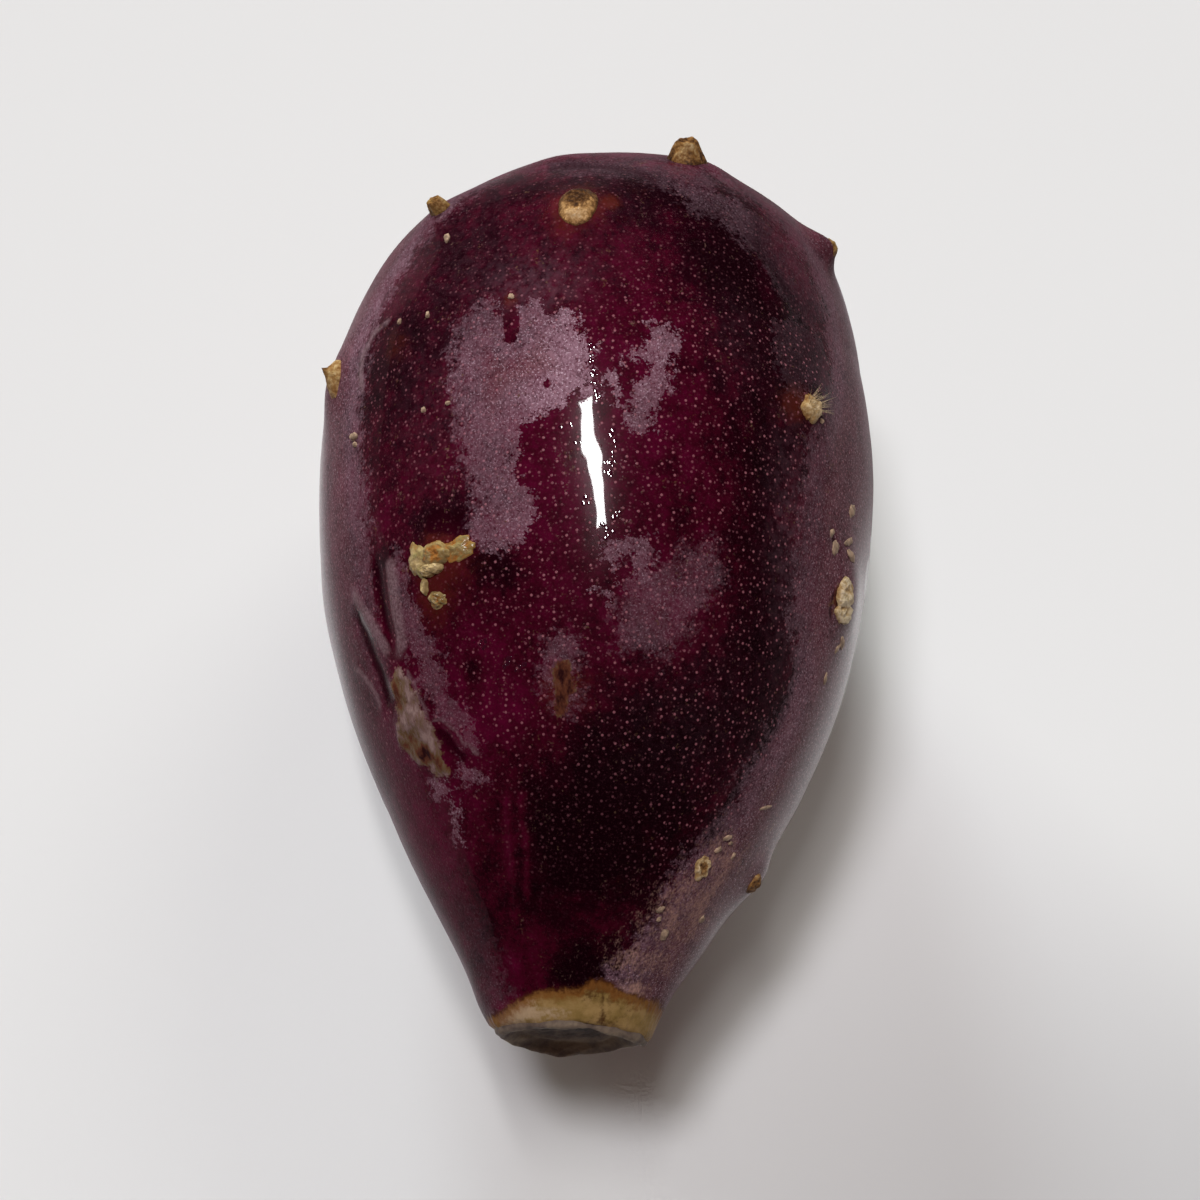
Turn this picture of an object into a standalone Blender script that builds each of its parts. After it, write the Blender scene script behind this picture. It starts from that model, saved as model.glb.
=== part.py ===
"""Prickly pear fruit, picked and lying on its side, as one closed solid.

The fruit's own axis runs from the cut stem end (-Y) to the crown (+Y).  Places along it are stations:
0 at the cut rim, 1 at the crown rim.  Angles go round the axis: 0 is the right flank (+X), 90 the
upper side (+Z), 180 the left flank and 270 the underside.  The origin is the middle of the small
patch of skin that the fruit rests on, straight below its balance point.
"""

import math

import bmesh
import bpy
from mathutils import Matrix, Vector

MM = 0.001

# Driving sizes
FRUIT_LENGTH = 79.1 * MM
GREATEST_RADIUS = 25.1 * MM
HEIGHT_TO_WIDTH = 0.96
CUT_RADIUS = 6.6 * MM
CUT_RIM_WIDTH = 0.8 * MM
CUT_HOLLOW_DEPTH = 1.5 * MM
CROWN_RIM_RADIUS = 6.8 * MM
CROWN_DISH_DEPTH = 2.6 * MM

# How it lies: the station of its balance point, the axis's lean down to the stem, and how far the
# skin is flattened where it rests
BALANCE_STATION = 0.566
AXIS_LEAN = math.radians(4.5)
REST_FLATTENING = 0.45 * MM

# Side profile between the two rims: station, radius as a share of the greatest radius
SIDE_PROFILE = (
    (0.10, 0.447),
    (0.22, 0.671),
    (0.35, 0.857),
    (0.48, 0.961),
    (0.60, 1.000),
    (0.71, 0.989),
    (0.81, 0.926),
    (0.89, 0.820),
    (0.95, 0.622),
    (0.985, 0.440),
)

# The stem end leans to the left and the crown slightly to the right: station, sideways shift
AXIS_SWAY = (
    (0.00, -2.0 * MM),
    (0.25, -0.4 * MM),
    (0.75, 0.0 * MM),
    (1.00, 2.1 * MM),
)

# The stem was cut slantwise: how much further the rim runs out on the right and on top (below 0
# it runs back), and the station where the slant has died away in the skin
CUT_SLANT_RIGHT = 0.4 * MM
CUT_SLANT_UP = -0.8 * MM
SLANT_END = 0.14

# Areoles, each on a swelling of the skin: station, angle in degrees, height and spread of the swelling
AREOLES = (
    # round the crown
    (0.950, 61, 0.9 * MM, 2.8 * MM),
    (0.955, 108, 0.6 * MM, 2.8 * MM),
    (0.955, 160, 0.5 * MM, 3.0 * MM),
    (0.955, 208, 0.6 * MM, 3.0 * MM),
    (0.955, 252, 0.5 * MM, 3.0 * MM),
    (0.955, 300, 0.6 * MM, 3.0 * MM),
    (0.955, 346, 0.6 * MM, 3.0 * MM),
    # shoulder
    (0.845, 95, 0.8 * MM, 3.2 * MM),
    (0.885, 133, 0.7 * MM, 3.0 * MM),
    (0.840, 182, 0.7 * MM, 4.0 * MM),
    (0.845, 232, 0.6 * MM, 4.0 * MM),
    (0.850, 282, 0.5 * MM, 4.0 * MM),
    (0.840, 330, 0.7 * MM, 4.0 * MM),
    (0.879, 25, 1.5 * MM, 1.9 * MM),
    # belly
    (0.638, 43, 0.7 * MM, 3.6 * MM),
    (0.705, 157, 0.8 * MM, 3.4 * MM),
    (0.660, 206, 0.6 * MM, 4.0 * MM),
    (0.690, 318, 0.6 * MM, 4.0 * MM),
    (0.640, 356, 0.2 * MM, 4.0 * MM),
    (0.456, 121, 0.6 * MM, 3.6 * MM),
    (0.456, 23, 0.7 * MM, 3.6 * MM),
    (0.470, 178, 0.2 * MM, 4.0 * MM),
    (0.440, 232, 0.5 * MM, 4.0 * MM),
    (0.430, 300, 0.5 * MM, 4.0 * MM),
    # taper to the stem
    (0.319, 97, 0.3 * MM, 3.4 * MM),
    (0.293, 138, 0.4 * MM, 3.6 * MM),
    (0.270, 200, 0.6 * MM, 3.4 * MM),
    (0.240, 262, 0.5 * MM, 3.4 * MM),
    (0.290, 335, 0.6 * MM, 3.4 * MM),
    (0.165, 3, 0.9 * MM, 2.6 * MM),
    (0.130, 45, 0.4 * MM, 2.8 * MM),
    (0.120, 225, 0.5 * MM, 2.8 * MM),
    (0.110, 310, 0.5 * MM, 2.8 * MM),
)

# Gentle flats between the rows of areoles
SKIN_LOBES = 5
LOBE_SHARE = 0.008
LOBE_TWIST = math.radians(70)

# Mesh resolution
RING_POINTS = 72
SKIN_RINGS = 44
DISH_RINGS = 5
HOLLOW_RINGS = 3
SPLINE_STEPS = 24

SKIN_COLOUR = (0.075, 0.006, 0.022, 1.0)
SKIN_ROUGHNESS = 0.28


def smooth_curve(points):
    """A dense Catmull-Rom curve through the points, which are vectors."""
    first = points[0] * 2 - points[1]
    last = points[-1] * 2 - points[-2]
    around = [first, *points, last]
    curve = []
    for a, b, c, d in zip(around, around[1:], around[2:], around[3:]):
        for step in range(SPLINE_STEPS):
            t = step / SPLINE_STEPS
            tangent = (c - a) * t
            bend = (a * 2 - b * 5 + c * 4 - d) * t**2
            twist = (b * 3 - a - c * 3 + d) * t**3
            curve.append((b * 2 + tangent + bend + twist) * 0.5)
    curve.append(points[-1].copy())
    return curve


def evenly_spaced(curve, count):
    """This many points at equal distances along the curve, its two ends included."""
    lengths = [0.0]
    for start, end in zip(curve, curve[1:]):
        lengths.append(lengths[-1] + (end - start).length)
    spaced = []
    index = 0
    for number in range(count):
        wanted = lengths[-1] * number / (count - 1)
        while index < len(curve) - 2 and lengths[index + 1] < wanted:
            index += 1
        share = (wanted - lengths[index]) / (lengths[index + 1] - lengths[index])
        spaced.append(curve[index].lerp(curve[index + 1], share))
    return spaced


def skin_profile():
    """(distance from the cut rim, radius) from the cut rim to the crown rim."""
    points = [Vector((0.0, CUT_RADIUS))]
    for station, share in SIDE_PROFILE:
        points.append(Vector((station * FRUIT_LENGTH, share * GREATEST_RADIUS)))
    points.append(Vector((FRUIT_LENGTH, CROWN_RIM_RADIUS)))
    return evenly_spaced(smooth_curve(points), SKIN_RINGS)


def dish_profile():
    """The crown's shallow dish, a raised cosine from just inside its rim to its middle."""
    dish = []
    for ring in range(1, DISH_RINGS + 1):
        share = ring / DISH_RINGS
        depth = CROWN_DISH_DEPTH * (1 - math.cos(math.pi * share)) / 2
        dish.append(Vector((FRUIT_LENGTH - depth, CROWN_RIM_RADIUS * (1 - share))))
    return dish


def hollow_profile():
    """The cut stem end, from the middle of its shallow hollow out to the inner edge of its flat rim."""
    inner_radius = CUT_RADIUS - CUT_RIM_WIDTH
    hollow = []
    for ring in range(HOLLOW_RINGS + 1):
        turn = math.pi / 2 * ring / HOLLOW_RINGS
        hollow.append(Vector((CUT_HOLLOW_DEPTH * math.cos(turn), inner_radius * math.sin(turn))))
    return hollow


def sway_at(distance):
    """The axis's sideways shift at this distance from the cut rim."""
    station = distance / FRUIT_LENGTH
    for (start, shift), (end, next_shift) in zip(AXIS_SWAY, AXIS_SWAY[1:]):
        if station <= end:
            return shift + (next_shift - shift) * (station - start) / (end - start)
    return AXIS_SWAY[-1][1]


def cut_slant(distance, radius, angle):
    """How far the slanting cut carries a point towards the stem end."""
    nearness = max(0.0, 1 - distance / (SLANT_END * FRUIT_LENGTH))
    fade = nearness**2 * (3 - 2 * nearness) * min(radius / CUT_RADIUS, 1.0)
    return fade * (CUT_SLANT_RIGHT * math.cos(angle) + CUT_SLANT_UP * math.sin(angle))


def placed(distance, radius, angle):
    """The point of the fruit at rest for a distance along its axis, a radius and an angle round it."""
    lobe = 1 + LOBE_SHARE * math.cos(SKIN_LOBES * angle + LOBE_TWIST * distance / FRUIT_LENGTH)
    along = distance - cut_slant(distance, radius, angle)
    point = Vector(
        (
            sway_at(distance) + radius * lobe * math.cos(angle),
            along - BALANCE_STATION * FRUIT_LENGTH,
            HEIGHT_TO_WIDTH * radius * lobe * math.sin(angle),
        )
    )
    return Matrix.Rotation(AXIS_LEAN, 3, "X") @ point


def radius_at(profile, station):
    """The profile's radius at a station."""
    distance = station * FRUIT_LENGTH
    for before, after in zip(profile, profile[1:]):
        if distance <= after.x:
            return before.lerp(after, (distance - before.x) / (after.x - before.x)).y
    return profile[-1].y


def swollen(points, profile):
    """The points pushed out from the axis where areoles stand on their swellings."""
    axis_way = Matrix.Rotation(AXIS_LEAN, 3, "X") @ Vector((0, 1, 0))
    centres = []
    for station, degrees, height, spread in AREOLES:
        place = placed(station * FRUIT_LENGTH, radius_at(profile, station), math.radians(degrees))
        centres.append((place, height, spread))
    moved = []
    for point in points:
        outward = (point - axis_way * point.dot(axis_way)).normalized()
        rise = 0.0
        for place, height, spread in centres:
            rise += height * math.exp(-(((point - place).length / spread) ** 2))
        moved.append(point + outward * rise)
    return moved


def fruit_mesh(name):
    """The closed surface: a pole in the hollow, rings over the skin, and a pole in the dish."""
    skin = skin_profile()
    rings = hollow_profile()[1:] + skin + dish_profile()[:-1]
    poles = (hollow_profile()[0], dish_profile()[-1])
    angles = [math.tau * number / RING_POINTS for number in range(RING_POINTS)]
    points = [placed(ring.x, ring.y, angle) for ring in rings for angle in angles]
    points += [placed(pole.x, pole.y, 0.0) for pole in poles]
    points = swollen(points, skin)

    lowest = min(point.z for point in points)
    surface = bmesh.new()
    for point in points:
        surface.verts.new((point.x, point.y, max(point.z - lowest - REST_FLATTENING, 0.0)))
    surface.verts.ensure_lookup_table()
    vertices = surface.verts
    last_ring = (len(rings) - 1) * RING_POINTS
    hollow_pole, dish_pole = vertices[-2], vertices[-1]
    for number in range(RING_POINTS):
        following = (number + 1) % RING_POINTS
        surface.faces.new((hollow_pole, vertices[number], vertices[following]))
        surface.faces.new((dish_pole, vertices[last_ring + following], vertices[last_ring + number]))
        for start in range(0, last_ring, RING_POINTS):
            surface.faces.new(
                (
                    vertices[start + number],
                    vertices[start + RING_POINTS + number],
                    vertices[start + RING_POINTS + following],
                    vertices[start + following],
                )
            )
    bmesh.ops.recalc_face_normals(surface, faces=surface.faces)
    mesh = bpy.data.meshes.new(name)
    surface.to_mesh(mesh)
    surface.free()
    mesh.shade_smooth()
    mesh.set_sharp_from_angle(angle=math.radians(50))
    return mesh


def skin_material():
    material = bpy.data.materials.new("wine_red_skin")
    material.use_nodes = True
    shader = material.node_tree.nodes["Principled BSDF"]
    shader.inputs["Base Color"].default_value = SKIN_COLOUR
    shader.inputs["Roughness"].default_value = SKIN_ROUGHNESS
    shader.inputs["Metallic"].default_value = 0.0
    return material


def main():
    for obj in list(bpy.data.objects):
        bpy.data.objects.remove(obj)
    fruit = bpy.data.objects.new("prickly_pear_fruit", fruit_mesh("prickly_pear_fruit"))
    fruit.data.materials.append(skin_material())
    bpy.context.scene.collection.objects.link(fruit)


main()
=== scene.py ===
import math
import random

import bmesh
import bpy
import numpy as np
from mathutils import Matrix, Vector, noise
from mathutils.bvhtree import BVHTree


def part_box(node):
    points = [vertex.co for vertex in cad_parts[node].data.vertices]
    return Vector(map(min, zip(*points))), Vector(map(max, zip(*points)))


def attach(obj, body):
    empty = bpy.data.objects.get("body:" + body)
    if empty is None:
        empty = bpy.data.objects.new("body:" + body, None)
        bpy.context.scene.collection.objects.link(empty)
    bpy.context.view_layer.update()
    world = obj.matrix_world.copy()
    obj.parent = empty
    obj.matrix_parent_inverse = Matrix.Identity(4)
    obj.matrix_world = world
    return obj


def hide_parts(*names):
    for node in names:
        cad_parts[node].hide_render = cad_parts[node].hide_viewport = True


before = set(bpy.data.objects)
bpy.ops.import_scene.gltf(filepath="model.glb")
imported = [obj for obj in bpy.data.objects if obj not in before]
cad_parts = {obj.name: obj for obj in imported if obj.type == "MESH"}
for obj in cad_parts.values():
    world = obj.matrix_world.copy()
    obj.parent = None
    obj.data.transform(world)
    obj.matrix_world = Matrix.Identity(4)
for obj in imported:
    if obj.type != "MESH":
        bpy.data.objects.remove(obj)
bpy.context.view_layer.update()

mm = 0.001
cadNode = "prickly_pear_fruit"
cadLow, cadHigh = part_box(cadNode)
packedLength = 79.87     # mm along Y, for the sizes below
unit = (cadHigh.y - cadLow.y) / packedLength     # one of the fruit's millimetres, as packed
print("frame loaded, box in mm", [round(v / mm, 1) for v in (*cadLow, *cadHigh)])


# helpers for node trees
def wire(tree, kind, inputs=None, **settings):
    # an input is a socket to link, or a plain value
    node = tree.nodes.new(kind)
    for key, value in settings.items():
        setattr(node, key, value)
    for key, value in (inputs or {}).items():
        if isinstance(value, bpy.types.NodeSocket):
            tree.links.new(value, node.inputs[key])
        else:
            node.inputs[key].default_value = value
    return node


def calc(tree, operation, *values):
    return wire(tree, "ShaderNodeMath", dict(enumerate(values)), operation=operation).outputs[0]


def vectorCalc(tree, operation, *values, output="Vector"):
    inputs = dict(enumerate(values))
    if operation == "SCALE":
        inputs = {0: values[0], "Scale": values[1]}
    return wire(tree, "ShaderNodeVectorMath", inputs, operation=operation).outputs[output]


def remap(tree, value, fromLow, fromHigh, toLow=0.0, toHigh=1.0, smooth=True):
    inputs = {0: value, 1: fromLow, 2: fromHigh, 3: toLow, 4: toHigh}
    kind = "SMOOTHSTEP" if smooth else "LINEAR"
    return wire(tree, "ShaderNodeMapRange", inputs, interpolation_type=kind).outputs[0]


def blendColour(tree, factor, first, second):
    return wire(tree, "ShaderNodeMix", {0: factor, 6: first, 7: second}, data_type="RGBA").outputs[2]


def blendValue(tree, factor, first, second):
    return wire(tree, "ShaderNodeMix", {0: factor, 2: first, 3: second}, data_type="FLOAT").outputs[0]


def addSwing(tree, value, gain, total):
    # adds a noise that is centred on 0
    return calc(tree, "MULTIPLY_ADD", calc(tree, "SUBTRACT", value, 0.5), gain, total)


def splitVector(tree, value):
    return wire(tree, "ShaderNodeSeparateXYZ", {0: value}).outputs


def positionOf(tree):
    return wire(tree, "GeometryNodeInputPosition").outputs[0]


def shapeOf(tree, source):
    node = wire(tree, "GeometryNodeObjectInfo", {"Object": source}, transform_space="ORIGINAL")
    return node.outputs["Geometry"]


def namedValue(tree, label, kind):
    return wire(tree, "GeometryNodeInputNamedAttribute", {"Name": label}, data_type=kind).outputs[0]


def paint(tree, node, material):
    inputs = {"Geometry": node.outputs[0], "Material": material}
    return wire(tree, "GeometryNodeSetMaterial", inputs).outputs[0]


def hexColour(text):
    # sRGB hex to linear
    parts = [int(text[i:i + 2], 16) / 255 for i in (0, 2, 4)]
    return (*[p / 12.92 if p <= 0.04045 else ((p + 0.055) / 1.055) ** 2.4 for p in parts], 1.0)


def newTree(name, kind, inputs, outputs):
    # an input is given as its default number, or as the kind of its socket
    tree = bpy.data.node_groups.new(name, kind)
    for label, value in inputs.items():
        socket = {int: "Int", float: "Float"}.get(type(value), value)
        made = tree.interface.new_socket(name=label, in_out="INPUT", socket_type="NodeSocket" + socket)
        if socket != value:
            made.default_value = value
    for label, socket in outputs.items():
        tree.interface.new_socket(name=label, in_out="OUTPUT", socket_type="NodeSocket" + socket)
    given = tree.nodes.new("NodeGroupInput").outputs
    result = tree.nodes.new("NodeGroupOutput").inputs
    return tree, given, result


def growMesh(name, tree, values):
    # runs a geometry tree on an empty mesh and keeps the result as a plain mesh object
    seed = bpy.data.objects.new(name + "Seed", bpy.data.meshes.new(name + "Seed"))
    bpy.context.scene.collection.objects.link(seed)
    modifier = seed.modifiers.new("grow", "NODES")
    modifier.node_group = tree
    for item in tree.interface.items_tree:
        if item.in_out == "INPUT" and item.name in values:
            modifier[item.identifier] = values[item.name]
    bpy.context.view_layer.update()
    graph = bpy.context.evaluated_depsgraph_get()
    grownSeed = seed.evaluated_get(graph)
    mesh = bpy.data.meshes.new_from_object(grownSeed, preserve_all_data_layers=True, depsgraph=graph)
    seed.modifiers.remove(modifier)
    bpy.data.objects.remove(seed)
    mesh.name = name
    grown = bpy.data.objects.new(name, mesh)
    bpy.context.scene.collection.objects.link(grown)
    return grown


def plainMesh(name, points, faces, attributes=None):
    mesh = bpy.data.meshes.new(name)
    mesh.from_pydata([tuple(p) for p in points], [], faces)
    for label, (kind, values) in (attributes or {}).items():
        layer = mesh.attributes.new(label, kind, "POINT")
        field = "vector" if kind == "FLOAT_VECTOR" else "value"
        layer.data.foreach_set(field, np.asarray(values, dtype=np.float32).ravel())
    return mesh


def guideObject(name, data):
    # helper geometry that the trees read; removed before the end
    guide = bpy.data.objects.new(name, data)
    bpy.context.scene.collection.objects.link(guide)
    guides.append(guide)
    return guide


guides = []


# the fruit's form: places along it run from 0 at the cut rim to 1 at the crown rim
fruit = {
    "length": 79.1, "radius": 25.1, "heightToWidth": 0.96,
    "cutRadius": 6.6, "cutInset": 1.6, "crownRadius": 6.8, "dishDepth": 2.6,
    "slantRight": 0.4, "slantUp": -0.8, "slantEnd": 0.14,     # the cut's slant, and where it has faded
    "rimShift": (     # degrees round, mm
        (-90, 0.0), (-75, -0.15), (-60, -0.3), (-45, -0.5), (-25, -0.3), (0, 0.35), (12, 0.60), (35, 0.65),
        (55, 0.65), (69, 0.60), (78, 0.55), (108, 0.65), (130, 0.4), (150, 0.25), (165, 0.0), (180, -0.35),
        (195, -0.5), (207, -0.5), (220, -0.35), (240, -0.15), (258, 0.1), (270, 0.0)),
    "rindLine": (     # degrees round, station where the rind ends
        (-90, 0.022), (0, 0.026), (17, 0.029), (38, 0.031), (53, 0.031), (63, 0.032), (71, 0.037),
        (80, 0.038), (87, 0.030), (98, 0.030), (111, 0.029), (122, 0.024), (137, 0.015), (148, 0.012),
        (180, 0.010), (220, 0.018), (270, 0.022)),
    "rimDraw": ((0.042, 5, 45, 0.45), (0.015, 175, 55, -0.50)),     # station, degrees, spread, mm drawn in
    "rimDepth": 0.03, "drawDepth": 0.035,     # how far along the two reach
    "balance": 0.566, "lean": math.radians(4.5), "flattening": 0.45,
    "sideProfile": ((0.10, 0.447), (0.22, 0.671), (0.35, 0.857), (0.48, 0.961), (0.60, 1.000),
                    (0.71, 0.989), (0.81, 0.926), (0.89, 0.820), (0.95, 0.622), (0.985, 0.440)),
    "sway": ((0.0, -2.0), (0.25, -0.4), (0.75, 0.0), (1.0, 2.1)),
    "lobes": 5, "lobeShare": 0.008, "lobeTwist": math.radians(70),
    "rings": 240, "around": 404, "crowding": 0.35,     # crowding sets the points closer on top
    "relief": 0.10, "reliefSize": 7.0, "pores": 0.022, "poreSize": 1.6,
}

# areoles: place along, degrees round (0 right, 90 up, 180 left), swelling height and spread in mm
areoles = {
    "crownBoss": (0.845, 95, 0.8, 3.2), "crownStub": (0.950, 61, 0.9, 2.8),
    "leftStub": (0.885, 133, 0.7, 3.0), "leftPoint": (0.705, 157, 0.8, 3.4), "cone": (0.879, 25, 1.5, 1.9),
    "tuft": (0.638, 43, 0.7, 3.6), "brokenPad": (0.456, 121, 0.6, 3.6), "paleScar": (0.456, 23, 0.7, 3.6),
    "midScar": (0.319, 97, 0.3, 3.4), "leftScar": (0.293, 138, 0.4, 3.6), "notch": (0.165, 3, 0.9, 2.6),
    "lowSpot": (0.130, 45, 0.4, 2.8), "crown108": (0.955, 108, 0.6, 2.8), "crown160": (0.955, 160, 0.5, 3.0),
    "crown208": (0.955, 208, 0.6, 3.0), "crown252": (0.955, 252, 0.5, 3.0),
    "crown300": (0.955, 300, 0.6, 3.0), "crown346": (0.955, 346, 0.6, 3.0),
    "shoulder182": (0.840, 182, 0.7, 4.0), "shoulder232": (0.845, 232, 0.6, 4.0),
    "shoulder282": (0.850, 282, 0.5, 4.0), "shoulder330": (0.840, 330, 0.7, 4.0),
    "belly206": (0.660, 206, 0.6, 4.0), "belly318": (0.690, 318, 0.6, 4.0),
    "belly356": (0.640, 356, 0.2, 4.0), "waist178": (0.470, 178, 0.2, 4.0),
    "waist232": (0.440, 232, 0.5, 4.0), "waist300": (0.430, 300, 0.5, 4.0),
    "taper200": (0.270, 200, 0.6, 3.4), "taper262": (0.240, 262, 0.5, 3.4),
    "taper335": (0.290, 335, 0.6, 3.4), "stem225": (0.120, 225, 0.5, 2.8), "stem310": (0.110, 310, 0.5, 2.8),
}


def smoothCurve(points, steps=24):
    # Catmull-Rom through the points
    knots = [np.asarray(p, dtype=float) for p in points]
    knots = [2 * knots[0] - knots[1], *knots, 2 * knots[-1] - knots[-2]]
    curve = []
    for a, b, c, d in zip(knots, knots[1:], knots[2:], knots[3:]):
        for t in np.arange(steps) / steps:
            curve.append(0.5 * (2 * b + (c - a) * t + (2 * a - 5 * b + 4 * c - d) * t**2
                                + (3 * b - a - 3 * c + d) * t**3))
    curve.append(knots[-2])
    return np.array(curve)


skinCurve = smoothCurve([(0.0, fruit["cutRadius"])]
                        + [(s * fruit["length"], r * fruit["radius"]) for s, r in fruit["sideProfile"]]
                        + [(fruit["length"], fruit["crownRadius"])])


def radiusAt(station):
    return float(np.interp(station * fruit["length"], skinCurve[:, 0], skinCurve[:, 1]))


def swayAt(station):
    stations, shifts = zip(*fruit["sway"])
    return np.interp(station, stations, shifts)


def slantAt(station, turn):
    # how far in mm the slanting cut carries the skin out at the stem end
    near = np.clip(1 - station / fruit["slantEnd"], 0, 1)
    way = fruit["slantRight"] * np.cos(turn) + fruit["slantUp"] * np.sin(turn)
    return near**2 * (3 - 2 * near) * way


def axisPlace(station, angle):
    # a place on the plain form, in mm, before it is lifted to its resting height
    turn = math.radians(angle)
    lobe = 1 + fruit["lobeShare"] * math.cos(fruit["lobes"] * turn + fruit["lobeTwist"] * station)
    radius = radiusAt(station) * lobe
    plain = Vector((swayAt(station) + radius * math.cos(turn),
                    (station - fruit["balance"]) * fruit["length"] - float(slantAt(station, turn)),
                    fruit["heightToWidth"] * radius * math.sin(turn)))
    return leaning @ plain


leaning = Matrix.Rotation(fruit["lean"], 3, "X")
lowestPoint = min(axisPlace(s / 100, a).z for s in range(30, 90) for a in range(255, 286))
lift = -lowestPoint - fruit["flattening"]
leanWay = leaning @ Vector((0, 1, 0))


def profileGuide():
    # x: distance along the axis, y: radius, z: sideways sway; from the hollow's middle to the dish's middle
    inner = fruit["cutRadius"] - 0.7
    rim = smoothCurve([(0.25, inner), (-0.02, inner + 0.25), (0.0, fruit["cutRadius"])], 6)[:-1]
    deep = fruit["cutInset"]
    hollow = [(deep, 0.0), (deep, inner * 0.6), (deep * 0.75, inner * 0.9)]
    dish = []
    for share in np.linspace(0, 1, 25)[1:]:
        depth = fruit["dishDepth"] * (1 - math.cos(math.pi * share)) / 2
        dish.append((fruit["length"] - depth, fruit["crownRadius"] * (1 - share)))
    rows = [*hollow, *rim, *skinCurve, *dish]
    data = bpy.data.curves.new("profileGuide", "CURVE")
    data.dimensions = "3D"
    line = data.splines.new("POLY")
    line.points.add(len(rows) - 1)
    for point, (along, radius) in zip(line.points, rows):
        point.co = (along, radius, swayAt(along / fruit["length"]), 1)
    return guideObject("profileGuide", data)


def areoleGuide():
    stations, turns, heights, spreads = zip(*areoles.values())
    places = [axisPlace(*place) for place in zip(stations, turns)]
    return guideObject("areoleGuide", plainMesh("areoleGuide", places, [], {
        "height": ("FLOAT", heights), "spread": ("FLOAT", spreads)}))


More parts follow.
